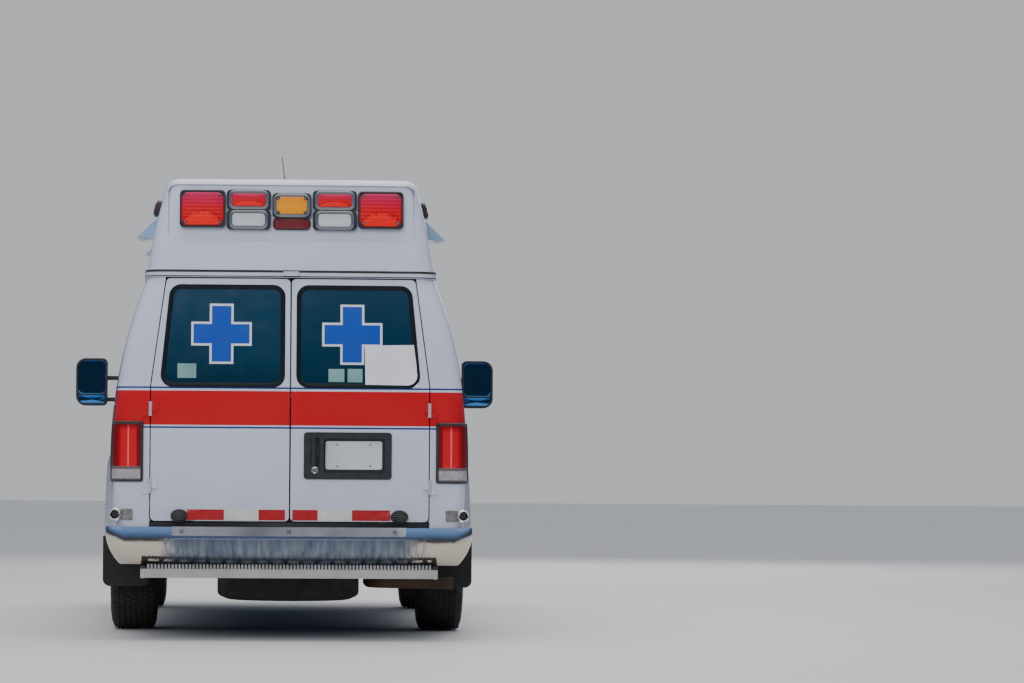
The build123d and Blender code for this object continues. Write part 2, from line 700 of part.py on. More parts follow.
def hood_zone(gap=0.0):
    return block(-HOOD_HALF - gap, HOOD_HALF + gap, COWL_TOP - gap, NOSE_Y - 26 + gap, HOOD_LIP - gap, REACH)


def hood():
    panel = (nose_shape(0) - Pos(0, 0, -HOOD_SHEET) * nose_shape(0)) & hood_zone()
    rib = block(-HOOD_HALF + 120, HOOD_HALF - 120, COWL_TOP + 120, COWL_TOP + 170, 900, 2000)
    return panel + (rib & (nose_shape(HOOD_SHEET - 1) - Pos(0, 0, -30) * nose_shape(HOOD_SHEET - 1)))


def nose_skin():
    inner = nose_shape(SHEET)
    return nose_shape(0) - inner - block(-REACH, REACH, 0, REACH, 0, NOSE_BOTTOM + 1)


def fenders():
    wing = nose_skin() & block(HOOD_HALF + SHUT_GAP, REACH, DOOR_FRONT + SEAT_GAP, HEADER_Y, 0, REACH)
    wing -= arch_cut(FRONT_AXLE_Y)
    for z in SIDE_HINGES:
        wing += cab_hinge(z, False)
    return wing + flip(wing)


def cowl_panel():
    """Black panel between the hood and the windscreen, with the wiper shafts."""
    half = HOOD_HALF + SHUT_GAP - SEAT_GAP
    top = nose_skin() & block(-half, half, DOOR_FRONT + SEAT_GAP, COWL_TOP - SHUT_GAP, 1100, REACH)
    for x in (-480, 180):
        top += cylinder_z(x, COWL_TOP - 22, 1262, 1300, 11)
    return top


GRILLE_HALF = 520.0
GRILLE_Z0 = 745.0
GRILLE_Z1 = 1020.0
LAMP_X0 = 560.0
LAMP_X1 = 835.0


def header_panel():
    """Front panel that carries the grille and headlamps."""
    inner = Pos(0, -PANEL, 0) * nose_shape(SHEET)
    panel = (nose_shape(0) - inner) & block(-REACH, REACH, HEADER_Y + SEAT_GAP, REACH, 700, REACH)
    panel -= hood_zone(SHUT_GAP)
    under = Pos(0, 0, -HOOD_SHEET - SEAT_GAP) * nose_shape(0) - Pos(0, 0, -HOOD_SHEET - SHEET) * nose_shape(0)
    panel += under & block(-HOOD_HALF + 90, HOOD_HALF - 90, NOSE_Y - 90, NOSE_Y - PANEL, HOOD_LIP, REACH)
    panel -= end_prism(rect(-GRILLE_HALF, GRILLE_HALF, GRILLE_Z0, GRILLE_Z1), 20, HEADER_Y + 30, REACH)
    for s in (1, -1):
        ends = sorted((s * LAMP_X0, s * LAMP_X1))
        panel -= end_prism(rect(*ends, GRILLE_Z0, GRILLE_Z1), 20, HEADER_Y + 30, REACH)
    return panel


def grille():
    """Frame with five bars and two posts in the header's opening."""
    x1, z0, z1 = GRILLE_HALF - SEAT_GAP, GRILLE_Z0 + SEAT_GAP, GRILLE_Z1 - SEAT_GAP
    y0, y1 = NOSE_Y - 40, NOSE_Y + 6
    frame = end_prism(rect(-x1, x1, z0, z1), 20, y0, y1)
    frame -= end_prism(rect(-x1 + 22, x1 - 22, z0 + 22, z1 - 22), 12, y0 - 1, y1 + 1)
    bars = 4
    pitch = (z1 - z0 - 44) / (bars + 1)
    for i in range(1, bars + 1):
        z = z0 + 22 + i * pitch
        frame += block(-x1 + 10, x1 - 10, y0 + 4, y1 - 6, z - 9, z + 9)
    for x in (-260, 0, 260):
        frame += block(x - 6, x + 6, y0 + 2, y0 + 18, z0 + 10, z1 - 10)
    return frame


def headlamps():
    outline = rect(LAMP_X0 + SEAT_GAP, LAMP_X1 - SEAT_GAP, GRILLE_Z0 + SEAT_GAP, GRILLE_Z1 - SEAT_GAP)
    lamp = end_prism(outline, 20, NOSE_Y - 70, REACH) & nose_shape(-3)
    return lamp + flip(lamp)


# Bumpers and step. Columns: height, setback of the face at that height, setback of each end.
FRONT_BUMPER = ((420, 55, 44), (470, 12, 10), (610, 0, 0), (668, 22, 18))
REAR_BUMPER = ((405, 46, 74), (440, 16, 46), (560, 0, 0), (605, 6, 2))
BUMPER_HALF = 980.0
BUMPER_RETURN = 260.0
BUMPER_SHEET = 9.0


def bumper(levels, half, reach, bow, corner):
    """A pressed bumper as a shell: its face towards +Y, open at the back."""
    def outline(z, setback, end_setback, inset):
        w, y = half - end_setback - inset, reach - setback - inset
        y_end = reach - BUMPER_RETURN
        edges = [
            ThreePointArc((-w, y - bow), (0, y), (w, y - bow)),
            Line((w, y - bow), (w, y_end)),
            Line((w, y_end), (-w, y_end)),
            Line((-w, y_end), (-w, y - bow)),
        ]
        face = make_face(edges)
        corners = [v for v in face.vertices() if v.Y > y - bow - 1]
        return Pos(0, 0, z) * fillet(corners, corner - inset)

    outer = loft([outline(*level, 0) for level in levels])
    inner = loft([outline(*level, BUMPER_SHEET) for level in levels])
    shell = outer - inner
    shelf_z = levels[-1][0]
    shelf = outer & block(-REACH, REACH, reach - BUMPER_RETURN * 0.62, REACH, shelf_z - BUMPER_SHEET, shelf_z)
    solid = shell + shelf
    return Pos(0, reach - solid.bounding_box().max.Y, 0) * solid


BRACKET_HALF = 28.0
REAR_BRACKET_Z0 = 484.0
REAR_REACH = FRONT_Y - 12.0


def bumper_brackets(start, reach, z0, z1):
    end = reach - BUMPER_SHEET - 6
    bar = block(RAIL_X - BRACKET_HALF, RAIL_X + BRACKET_HALF, start, end, z0, z1)
    return bar + flip(bar)


def front_bumper():
    brackets = bumper_brackets(RAIL_FRONT + SEAT_GAP, FRONT_Y, 520, 600)
    return bumper(FRONT_BUMPER, BUMPER_HALF, FRONT_Y, 70, 120) + brackets


def rear_bumper():
    rail_bottom = rail_height(RAIL_REAR) - RAIL_HEIGHT / 2
    brackets = bumper_brackets(-RAIL_REAR - 65, REAR_REACH, REAR_BRACKET_Z0, rail_bottom - SEAT_GAP)
    return Rot(0, 0, 180) * (bumper(REAR_BUMPER, BUMPER_HALF, REAR_REACH, 22, 95) + brackets)


STEP_HALF = 787.0
STEP_TOP = 392.0
STEP_BOTTOM = 335.0
STEP_DEPTH = 260.0
SLOT_SIZE = (56.0, 22.0, 30.0)
SLOT_EDGE = 62.0
SLOT_PITCH = 83.0
SLOT_COLUMNS = 19
SLOT_ROWS = 4


def rear_step():
    """Folded tread channel below the bumper, with rows of drain slots and two hangers."""
    y0, y1 = REAR_Y, REAR_Y + STEP_DEPTH
    tread = block(-STEP_HALF, STEP_HALF, y0, y1, STEP_BOTTOM, STEP_TOP)
    tread -= block(-STEP_HALF + 5, STEP_HALF - 5, y0 + 5, y1 - 5, STEP_BOTTOM - 1, STEP_TOP - 6)
    across = [-STEP_HALF + SLOT_EDGE + i * SLOT_PITCH for i in range(SLOT_COLUMNS)]
    slots = [Pos(x, y0 + 40 + j * 50, STEP_TOP) * Box(*SLOT_SIZE) for x in across for j in range(SLOT_ROWS)]
    tread -= slots
    for x in (-RAIL_X, RAIL_X):
        tread += block(x - 25, x + 25, y1 - 8, y1, STEP_TOP - 20, REAR_BRACKET_Z0 - SEAT_GAP)
    return tread


# Wheels
def tyre_at(x, y, z=AXLE_Z):
    """A tyre revolved round X, with rounded shoulders and a bead seat."""
    r, w, bead = TYRE_RADIUS, TYRE_WIDTH / 2, RIM_RADIUS + 14
    half = [
        Line((bead, -78), (bead, 78)),
        ThreePointArc((bead, 78), (bead + 80, w), (r - 28, w - 14)),
        ThreePointArc((r - 28, w - 14), (r - 9, w - 24), (r, w - 42)),
        Line((r, w - 42), (r, -w + 42)),
        ThreePointArc((r, -w + 42), (r - 9, -w + 24), (r - 28, -w + 14)),
        ThreePointArc((r - 28, -w + 14), (bead + 80, -w), (bead, -78)),
    ]
    plane = Plane(origin=(0, 0, 0), x_dir=(0, 0, 1), z_dir=(0, -1, 0))
    solid = revolve(plane * make_face(half), Axis.X)
    return Pos(x, y, z) * solid


HUB_RADIUS = 62.0


def rim_at(x, y, side):
    """A pressed steel wheel: barrel, dished disc with hand holes, and hub."""
    bore = SPINDLE_RADIUS + SEAT_GAP
    b, seat = RIM_WIDTH / 2, RIM_RADIUS + 14 - SEAT_GAP
    profile = [
        (seat - 14, -b), (seat, -b), (seat, b), (seat - 14, b), (seat - 18, b - 14),
        (seat - 44, b - 40), (seat - 60, b - 62), (HUB_RADIUS + 40, b - 72), (HUB_RADIUS + 16, b - 40),
        (bore, b - 40), (bore, b - 100), (HUB_RADIUS, b - 100), (HUB_RADIUS + 18, b - 60),
        (HUB_RADIUS + 40, b - 90), (seat - 62, b - 84), (seat - 40, b - 100), (seat - 20, -b + 20),
    ]
    plane = Plane(origin=(0, 0, 0), x_dir=(0, 0, 1), z_dir=(0, 1, 0))
    face = make_face(Polyline(*profile, close=True))
    solid = revolve(plane * face, Axis.X)
    for i in range(8):
        a = math.radians(45 * i + 22.5)
        hole = cylinder_x(-b, b, 128 * math.cos(a), 128 * math.sin(a), 17)
        solid -= hole
        nut = cylinder_x(b - 62, b - 28, 86 * math.cos(a), 86 * math.sin(a), 12)
        solid += nut
    turned = solid if side > 0 else flip(solid)
    return Pos(x, y, AXLE_Z) * turned


# Axles and chassis
EYE_RADIUS = 40.0
EYE_HEIGHT = 70.0


BEAM_SHIFT = 34.0
BEAM_HALF = 28.0
BEAM_ROOT = 260.0


def front_axle():
    """Two crossing beams, each with an eye for the kingpin, with the coil springs and their towers."""
    parts = None
    for s in (1, -1):
        y = FRONT_AXLE_Y + s * BEAM_SHIFT
        x_end, x_eye = s * (KINGPIN_X - 50), s * KINGPIN_X
        root_x = -s * BEAM_ROOT
        points = [
            (root_x, AXLE_Z + 20), (x_end, AXLE_Z - 30),
            (x_end, AXLE_Z + 30), (root_x, AXLE_Z + 96),
        ]
        beam = end_prism(points, 0, y - BEAM_HALF, y + BEAM_HALF)
        ends = sorted((s * (KINGPIN_X - 90), x_eye))
        sides = sorted((y + s * BEAM_HALF, FRONT_AXLE_Y - s * 36))
        beam += block(*ends, *sides, AXLE_Z - 30, AXLE_Z + 30)
        beam += cylinder_z(x_eye, FRONT_AXLE_Y, AXLE_Z - EYE_HEIGHT / 2, AXLE_Z + EYE_HEIGHT / 2, EYE_RADIUS)
        beam -= cylinder_z(x_eye, FRONT_AXLE_Y, 0, REACH, KINGPIN_RADIUS + KINGPIN_CLEARANCE)
        spring = cylinder_z(s * 540, FRONT_AXLE_Y, AXLE_Z, 620, 56)
        tower_x = sorted((s * (RAIL_X + RAIL_WIDTH / 2 + SEAT_GAP), s * 610))
        tower = block(*tower_x, FRONT_AXLE_Y - 70, FRONT_AXLE_Y + 70, 560, 640)
        half = beam + spring + tower
        parts = half if parts is None else parts + half
    return parts


def knuckle():
    """Right steering knuckle: kingpin with an ear above and below the beam's eye, spindle and steering arm."""
    x, y = KINGPIN_X, FRONT_AXLE_Y
    gap = EYE_HEIGHT / 2 + 3
    pin = cylinder_z(x, y, AXLE_Z - gap - 30, AXLE_Z + gap + 30, KINGPIN_RADIUS)
    body = pin
    for s in (1, -1):
        z = sorted((AXLE_Z + s * gap, AXLE_Z + s * (gap + 28)))
        body += cylinder_z(x, y, *z, EYE_RADIUS)
        body += block(x, x + EYE_RADIUS + 22, y - 30, y + 30, *z)
    inner = x + EYE_RADIUS + 4
    body += block(inner, inner + 20, y - 45, y + 45, AXLE_Z - gap - 28, AXLE_Z + gap + 28)
    tip = FRONT_TRACK / 2 + RIM_WIDTH / 2 - 48
    body += cylinder_x(x + EYE_RADIUS + 20, tip, y, AXLE_Z, SPINDLE_RADIUS)
    body += block(x - 20, x + 20, y - 150, y, AXLE_Z - gap - 28, AXLE_Z - gap - 8)
    return body


def rear_axle():
    tube = cylinder_x(-REAR_TRACK / 2 + 46, REAR_TRACK / 2 - 46, REAR_AXLE_Y, AXLE_Z, 45)
    bowl = Pos(0, REAR_AXLE_Y, AXLE_Z) * Sphere(150)
    bowl &= block(-150, 150, REAR_AXLE_Y - 130, REAR_AXLE_Y + 150, 0, REACH)
    nose = Pos(0, REAR_AXLE_Y + 190, AXLE_Z) * Rot(90, 0, 0) * Cylinder(58, 160)
    axle = tube + bowl + nose
    for s in (1, -1):
        ends = sorted((s * (REAR_TRACK / 2 - 100), s * (REAR_TRACK / 2 - 46)))
        axle += cylinder_x(*ends, REAR_AXLE_Y, AXLE_Z, 135)
        stub = sorted((s * (REAR_TRACK / 2 - 50), s * (REAR_TRACK / 2 + RIM_WIDTH / 2 - 48)))
        axle += cylinder_x(*stub, REAR_AXLE_Y, AXLE_Z, SPINDLE_RADIUS)
    return axle


SPRING_X = 520.0
SPRING_HALF = 720.0


def rear_springs():
    """Leaf springs clamped on top of the axle tube, hung from brackets on the rails' outer sides."""
    y, z = REAR_AXLE_Y, AXLE_Z + 45 + SEAT_GAP
    arc = [
        ThreePointArc((y - SPRING_HALF, z + 78), (y, z), (y + SPRING_HALF, z + 78)),
        Line((y + SPRING_HALF, z + 78), (y + SPRING_HALF, z + 90)),
        ThreePointArc((y + SPRING_HALF, z + 90), (y, z + 40), (y - SPRING_HALF, z + 90)),
        Line((y - SPRING_HALF, z + 90), (y - SPRING_HALF, z + 78)),
    ]
    plane = Plane(origin=(SPRING_X - 32, 0, 0), x_dir=(0, 1, 0), z_dir=(1, 0, 0))
    leaf = extrude(plane * make_face(arc), 64)
    for s in (1, -1):
        eye = y + s * SPRING_HALF
        leaf += cylinder_x(SPRING_X - 34, SPRING_X + 34, eye, z + 84, 30)
        leaf += block(RAIL_X + RAIL_WIDTH / 2 + SEAT_GAP, SPRING_X + 20, eye - 26, eye + 26, z + 60, z + 190)
    return leaf + flip(leaf)


RAIL_REAR = TAIL_Y + WALL + 20.0
RAIL_FRONT = FRONT_Y - 226.0
# Columns: y, height of the rail's middle
RAIL_LINE = (
    (RAIL_REAR, 610), (-1900, 610), (-1700, 622), (-1050, 622),
    (-760, 540), (1800, 540), (2100, 560), (RAIL_FRONT, 560),
)


def frame_rails():
    """Two open channels with their flanges inward, kicked up over the rear axle."""
    h = RAIL_HEIGHT / 2
    outline = [(y, z - h) for y, z in RAIL_LINE] + [(y, z + h) for y, z in reversed(RAIL_LINE)]
    k = h - RAIL_SHEET
    hollow = [(y, z - k) for y, z in RAIL_LINE] + [(y, z + k) for y, z in reversed(RAIL_LINE)]
    rail = side_prism(outline, 0, RAIL_X - RAIL_WIDTH / 2, RAIL_X + RAIL_WIDTH / 2)
    rail -= side_prism(hollow, 0, RAIL_X - RAIL_WIDTH / 2 - 1, RAIL_X + RAIL_WIDTH / 2 - RAIL_SHEET)
    return rail + flip(rail)


def rail_height(y):
    for (y0, z0), (y1, z1) in zip(RAIL_LINE, RAIL_LINE[1:]):
        if y0 <= y <= y1:
            return z0 + (z1 - z0) * (y - y0) / (y1 - y0)
    return RAIL_LINE[-1][1]


CROSS_MEMBERS = (-2740.0, -1850.0, -900.0, -150.0, 640.0, 2660.0)
BEAM_SPAN = (4.0, 54.0)
BODY_MOUNTS = (-650.0, 500.0)


def cross_members():
    """Beams between the rails, high enough that the drive shaft turns below them."""
    reach = RAIL_X + RAIL_WIDTH / 2 - RAIL_SHEET - SEAT_GAP
    beams = []
    for y in CROSS_MEMBERS:
        low, high = (rail_height(y) + rise for rise in BEAM_SPAN)
        beams.append(block(-reach, reach, y - 35, y + 35, low, high))
    return Compound(children=beams)


def body_mounts():
    mounts = []
    top = FLOOR_TOP - FLOOR_THICKNESS - SEAT_GAP
    for y in BODY_MOUNTS:
        rail_top = rail_height(y) + RAIL_HEIGHT / 2 + SEAT_GAP
        mounts += [cylinder_z(x, y, rail_top, top, 30) for x in (RAIL_X, -RAIL_X)]
    return Compound(children=mounts)


GEARBOX_REAR = 720.0
SHAFT_RADIUS = 42.0


def engine_block():
    """The engine and gearbox as one plain mass."""
    engine = block(-ENGINE_HALF, ENGINE_HALF, 1180, 2330, 560, 1040)
    sump = block(-160, 160, 1280, 2020, 430, 561)
    gearbox = block(-150, 150, GEARBOX_REAR, 1181, 430, 610)
    reach = RAIL_X - RAIL_WIDTH / 2 - SEAT_GAP
    mounts = block(-reach, reach, 1380, 1460, 562, rail_height(1400) + RAIL_HEIGHT / 2 - 3)
    return engine + sump + gearbox + mounts


def drive_shaft():
    """Propeller shaft with a flange at the gearbox and one at the axle's nose."""
    rear = Vector(0, REAR_AXLE_Y + 270 + SEAT_GAP, AXLE_Z)
    front = Vector(0, GEARBOX_REAR - SEAT_GAP, 495)
    flange = Rot(90, 0, 0) * Cylinder(SHAFT_RADIUS + 14, 30)
    start, end = rear + Vector(0, 15, 0), front - Vector(0, 15, 0)
    span = end - start
    angle = math.degrees(math.atan2(span.Z, span.Y))
    tube = Rot(angle, 0, 0) * Rot(90, 0, 0) * Cylinder(SHAFT_RADIUS, span.length)
    tube = Pos(*((start + end) * 0.5)) * tube
    return tube + Pos(*start) * flange + Pos(*end) * flange


TANK_OUTER = 870.0
TANK_STRAP = 4.0
TANK_HALF = 560.0
TANK_HEIGHTS = (330.0, 640.0)
STRAPS = (-330.0, 280.0)


def fuel_tank():
    """Steel tank beside the left rail, held by two straps from the rail's web."""
    rail_face = RAIL_X + RAIL_WIDTH / 2
    z0, z1 = TANK_HEIGHTS
    tank = block(-TANK_OUTER, -rail_face - 12, -TANK_HALF, TANK_HALF, z0, z1)
    tank = fillet(tank.edges().filter_by(Axis.Y), 45)
    strap_out, strap_in = -TANK_OUTER - TANK_STRAP, -rail_face - SEAT_GAP
    for y in STRAPS:
        tank += block(strap_out, strap_in, y - 20, y + 20, z0 - TANK_STRAP, z1 + TANK_STRAP)
    return tank


PIPE_RADIUS = 33.0
PIPE_X = 618.0
SILENCER_Y = -230.0
SILENCER_Z = 470.0
HANGERS = ((-80, SILENCER_Z), (-380, SILENCER_Z), (-1600, 440))
# Columns: x, y, z of the pipe's corners, then the radius there
PIPE_ROUTE = (
    (PIPE_X, 300, SILENCER_Z, 0),
    (PIPE_X, -930, SILENCER_Z, 200),
    (PIPE_X, -1230, 505, 200),
    (PIPE_X, -1500, 490, 150),
    (590, -1760, 360, 150),
    (450, -2060, 300, 150),
    (440, -2290, 298, 90),
    (905, -2300, 292, 0),
)


def exhaust():
    """Silencer and tailpipe that passes over the axle and turns out behind the right rear wheel."""
    path = FilletPolyline(*[row[:3] for row in PIPE_ROUTE], radius=[row[3] for row in PIPE_ROUTE[1:-1]])
    pipe = sweep(Plane(origin=path @ 0, z_dir=path % 0) * Circle(PIPE_RADIUS), path=path)
    silencer = Pos(PIPE_X, SILENCER_Y, SILENCER_Z) * Rot(90, 0, 0) * extrude(Ellipse(95, 75), 300, both=True)
    system = pipe + silencer
    for y, z in HANGERS:
        system += block(PIPE_X - 10, PIPE_X + 10, y - 10, y + 10, z, FLOOR_TOP - FLOOR_THICKNESS - SEAT_GAP)
    return system


SPARE_Y = -2290.0
SPARE_Z = 330.0


def spare_wheel():
    """Spare wheel slung flat under the tail on a hanger between the rails."""
    tyre = Pos(0, SPARE_Y, SPARE_Z) * Rot(0, 90, 0) * tyre_at(0, 0, 0)
    disc = cylinder_z(0, SPARE_Y, SPARE_Z - 30, SPARE_Z - 14, RIM_RADIUS + 14)
    reach = RAIL_X - RAIL_WIDTH / 2 - SEAT_GAP
    top = rail_height(SPARE_Y) - RAIL_HEIGHT / 2 + RAIL_SHEET
    hanger = cylinder_z(0, SPARE_Y, SPARE_Z - 30, top - 10, 30)
    hanger += block(-reach, reach, SPARE_Y - 40, SPARE_Y + 40, top - 40, top)
    return tyre + disc + hanger


FLAP_Y = REAR_AXLE_Y - 500.0
FLAP_INNER = 770.0
FLAP_X = 1028.0
FLAP_BOTTOM = 254.0


def mud_flaps():
    """Rubber flaps behind the rear wheels, each on a bracket from the floor."""
    flap = block(FLAP_INNER, FLAP_X, FLAP_Y, FLAP_Y + 10, FLAP_BOTTOM, TAIL_EDGE - SHUT_GAP)
    flap = fillet(flap.edges().filter_by(Axis.Y).sort_by(Axis.Z)[:2], 40)
    top = FLOOR_TOP - FLOOR_THICKNESS - SEAT_GAP
    flap += block(FLAP_INNER, FLAP_INNER + 100, FLAP_Y + 10, FLAP_Y + 22, TAIL_EDGE - 60, top)
    return flap + flip(flap)


# Raised roof and lamps
LAMP_PANEL = rect(-665, 665, 2142, 2448)


def raised_roof():
    cap = roof_shape(0) - roof_shape(ROOF_WALL)
    flange_row = UPPER_LEVELS[-1]
    outer = level_face(flange_row, -FLANGE_PROUD)
    inner = level_face(flange_row, ROOF_WALL + 20)
    flange = extrude(outer, FLANGE_HEIGHT) - extrude(inner, FLANGE_HEIGHT)
    flange = Pos(0, 0, SEAT_GAP) * flange
    panel_zone = end_prism(LAMP_PANEL, 40, TAIL_Y - 200, TAIL_Y + 300)
    recess = (roof_shape(-60) - roof_shape(PANEL_DEPTH)) & panel_zone
    return flange + cap - recess


# Rear lamp bank. Columns: centre x, centre z, width, height, how far the lamp stands out
RED_LAMPS = ((480, 2315, 244, 202, 30), (232, 2365, 236, 108, 26))
CLEAR_LAMPS = ((232, 2257, 236, 106, 26),)
AMBER_LAMP = (0, 2336, 208, 134, 28)
BRAKE_LAMP = (0, 2236, 200, 62, 16)
# Side lamps. Columns: centre y, centre z, length, height
SIDE_RED = ((-2330, 2334, 230, 80), (820, 2300, 230, 80))
SCENE_LIGHTS = ((-2330, 2229, 270, 118), (-300, 2229, 270, 118))
FRONT_RED = ((520, 2270, 230, 130),)
FRONT_CLEAR = ((190, 2270, 230, 110),)


def rear_lamp(x, z, width, height, proud):
    outline = rect(x - width / 2, x + width / 2, z - height / 2, z + height / 2)
    zone = end_prism(outline, 22, TAIL_Y - 200, TAIL_Y + 400)
    return (roof_shape(PANEL_DEPTH - SEAT_GAP - proud) & zone) - roof_shape(PANEL_DEPTH - SEAT_GAP)


def front_lamp(x, z, width, height):
    outline = rect(x - width / 2, x + width / 2, z - height / 2, z + height / 2)
    zone = end_prism(outline, 22, 300, REACH)
    return (roof_shape(-28) & zone) - roof_shape(-SEAT_GAP)


def side_lamp(y, z, length, height, proud):
    outline = rect(y - length / 2, y + length / 2, z - height / 2, z + height / 2)
    zone = side_prism(outline, 22, 100, REACH)
    return (roof_shape(-proud) & zone) - roof_shape(-SEAT_GAP)


def scene_light(y, z, length, height):
    """Wedge-shaped floodlight housing that tips its lens towards the ground."""
    half = HALF_WIDTH - 262
    top, under = z + height / 2, z - height / 2
    points = [(half - 120, top), (half - 30, top), (half + 92, under), (half - 120, under)]
    wedge = end_prism(points, 0, y - length / 2, y + length / 2)
    return wedge - roof_shape(-SEAT_GAP)


def both_sides(parts):
    shapes = []
    for part in parts:
        shapes += [part, flip(part)]
    return Compound(children=shapes)


SEAM_LAMP = rect(-43, 43, ROOF_SEAM + 9, ROOF_SEAM + 34)


def seam_lamp():
    """Small lamp on the roof flange over the middle of the rear doors."""
    flange_y = TAIL_Y + UPPER_LEVELS[-1][3] - FLANGE_PROUD
    return end_prism(SEAM_LAMP, 8, flange_y - 16, flange_y - SEAT_GAP)


def red_lamps():
    parts = [rear_lamp(*row) for row in RED_LAMPS]
    parts += [side_lamp(*row, 26) for row in SIDE_RED]
    parts += [front_lamp(*row) for row in FRONT_RED]
    return group(both_sides(parts), rear_lamp(*BRAKE_LAMP))


def clear_lamps():
    parts = [rear_lamp(*row) for row in CLEAR_LAMPS] + [front_lamp(*row) for row in FRONT_CLEAR]
    return group(both_sides(parts), seam_lamp())


def scene_lights():
    return both_sides([scene_light(*row) for row in SCENE_LIGHTS])


ANTENNA_Y = 300.0


def antenna():
    base = cylinder_z(0, ANTENNA_Y, ROOF_TOP + SEAT_GAP, ROOF_TOP + 26, 22)
    whip = Pos(0, ANTENNA_Y, ROOF_TOP + 20) * Rot(0, -7, 0) * cylinder_z(0, 0, 0, 300, 3)
    return base + whip


def group(*shapes):
    """Several solids that share one node and don't touch."""
    return Compound(children=[solid for shape in shapes for solid in shape.solids()])


def fixed_parts():
    return {
        "chassis_frame": frame_rails(),
        "cross_members": group(cross_members(), body_mounts()),
        "floor_pan": floor_pan(),
        "side_left": side_panel(False),
        "side_right": side_panel(True),
        "rear_sill": rear_sill(),
        "raised_roof": raised_roof(),
        "cab_front": cab_front(),
        "cowl_panel": cowl_panel(),
        "front_panels": group(fenders(), header_panel()),
        "grille": grille(),
        "headlamps": headlamps(),
        "front_bumper": front_bumper(),
        "rear_bumper": rear_bumper(),
        "rear_step": rear_step(),
        "tail_lamps": tail_lamps(),
        "red_lamps": red_lamps(),
        "clear_lamps": clear_lamps(),
        "amber_lamp": rear_lamp(*AMBER_LAMP),
        "scene_lights": scene_lights(),
        "antenna": antenna(),
        "windscreen": windscreen(),
        "bulkhead": bulkhead(),
        "bench": bench(),
        "cabinet": cabinet(),
        "cab_seats": cab_seats(),
        "dashboard": group(dashboard(), engine_cover(), steering_wheel()),
        "engine_block": engine_block(),
        "front_axle": front_axle(),
        "rear_axle": group(rear_axle(), rear_springs(), drive_shaft()),
        "fuel_tank": fuel_tank(),
        "exhaust": exhaust(),
        "spare_wheel": spare_wheel(),
        "mud_flaps": mud_flaps(),
    }


def door_parts():
    cab, glass, mirror_head = cab_door(), cab_glass(), door_mirror()
    front_leaf, front_glass = side_door(SIDE_FRONT, B_PILLAR_REAR + SHUT_GAP / 2, -1)
    rear_leaf, rear_pane = side_door(SIDE_REAR, SIDE_DOOR_REAR - SHUT_GAP / 2, 1)
    return {
        "hood": hood(),
        "cab_door_right": cab,
        "cab_door_left": flip(cab),
        "cab_glass_right": glass,
        "cab_glass_left": flip(glass),
        "mirror_right": mirror_head,
        "mirror_left": flip(mirror_head),
        "side_door_front": front_leaf,
        "side_glass_front": front_glass,
        "side_door_rear": rear_leaf,
        "side_glass_rear": rear_pane,
        "rear_door_right": rear_door(1),
        "rear_door_left": rear_door(-1),
        "rear_glass_right": rear_glass(1),
        "rear_glass_left": rear_glass(-1),
        "plate_housing": plate_housing(),
    }


def wheel_parts():
    steering = knuckle()
    parts = {"knuckle_right": steering, "knuckle_left": flip(steering)}
    for corner, track, y in (("front", FRONT_TRACK, FRONT_AXLE_Y), ("rear", REAR_TRACK, REAR_AXLE_Y)):
        rim, tyre = rim_at(track / 2, y, 1), tyre_at(track / 2, y)
        parts[f"rim_{corner}_right"] = rim
        parts[f"rim_{corner}_left"] = flip(rim)
        parts[f"tyre_{corner}_right"] = tyre
        parts[f"tyre_{corner}_left"] = flip(tyre)
    return parts


if __name__ == "__main__":
    os.makedirs("parts", exist_ok=True)
    for name, shape in {**fixed_parts(), **door_parts(), **wheel_parts()}.items():
        export_step(shape, f"parts/{name}.step")
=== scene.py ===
import math

import bmesh
import bpy
import numpy as np
from mathutils import Matrix, Vector
from mathutils.bvhtree import BVHTree


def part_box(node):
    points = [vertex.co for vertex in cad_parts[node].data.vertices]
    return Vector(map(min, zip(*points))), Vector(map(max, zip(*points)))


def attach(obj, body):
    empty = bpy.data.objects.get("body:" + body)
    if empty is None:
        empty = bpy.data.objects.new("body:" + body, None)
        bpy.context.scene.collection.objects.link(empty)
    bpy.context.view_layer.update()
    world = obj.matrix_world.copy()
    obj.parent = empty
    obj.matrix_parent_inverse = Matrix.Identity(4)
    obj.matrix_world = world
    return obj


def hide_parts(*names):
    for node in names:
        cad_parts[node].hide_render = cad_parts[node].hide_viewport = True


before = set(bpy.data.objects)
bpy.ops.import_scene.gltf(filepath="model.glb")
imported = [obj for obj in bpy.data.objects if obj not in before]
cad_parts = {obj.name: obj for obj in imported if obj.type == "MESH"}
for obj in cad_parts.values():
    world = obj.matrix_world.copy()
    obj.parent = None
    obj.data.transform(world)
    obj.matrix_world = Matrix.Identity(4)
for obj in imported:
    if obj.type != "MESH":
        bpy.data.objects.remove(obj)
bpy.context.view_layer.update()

# Studio
# A plain pale floor under a cool sky that is dark near the horizon, with soft panels above, behind
# and in front; the one behind leaves no highlight. The camera stands 24 m behind, at chest height.
CAMERA_PLACE = Vector((-0.19285, -26.6313, 1.0199))
CAMERA_YAW, CAMERA_PITCH, CAMERA_ROLL = 0.0580, 0.02475, 0.00669
CAMERA_LENS = 155.71
FLOOR_HALF = 60.0


def add(tree, kind, inputs=None, **settings):
    """Adds a node; inputs are values or the sockets that feed them."""
    made = tree.nodes.new(kind)
    for key, value in settings.items():
        setattr(made, key, value)
    for key, value in (inputs or {}).items():
        if isinstance(value, bpy.types.NodeSocket):
            tree.links.new(value, made.inputs[key])
        else:
            made.inputs[key].default_value = value
    return made


def ranged(tree, value, start, end, low=0.0, high=1.0):
    """A value carried from one range to another and held at its ends."""
    spread = {"Value": value, "From Min": start, "From Max": end, "To Min": low, "To Max": high}
    return add(tree, "ShaderNodeMapRange", spread).outputs["Result"]


def linked(name, data):
    """A new object in the scene."""
    made = bpy.data.objects.new(name, data)
    bpy.context.scene.collection.objects.link(made)
    return made


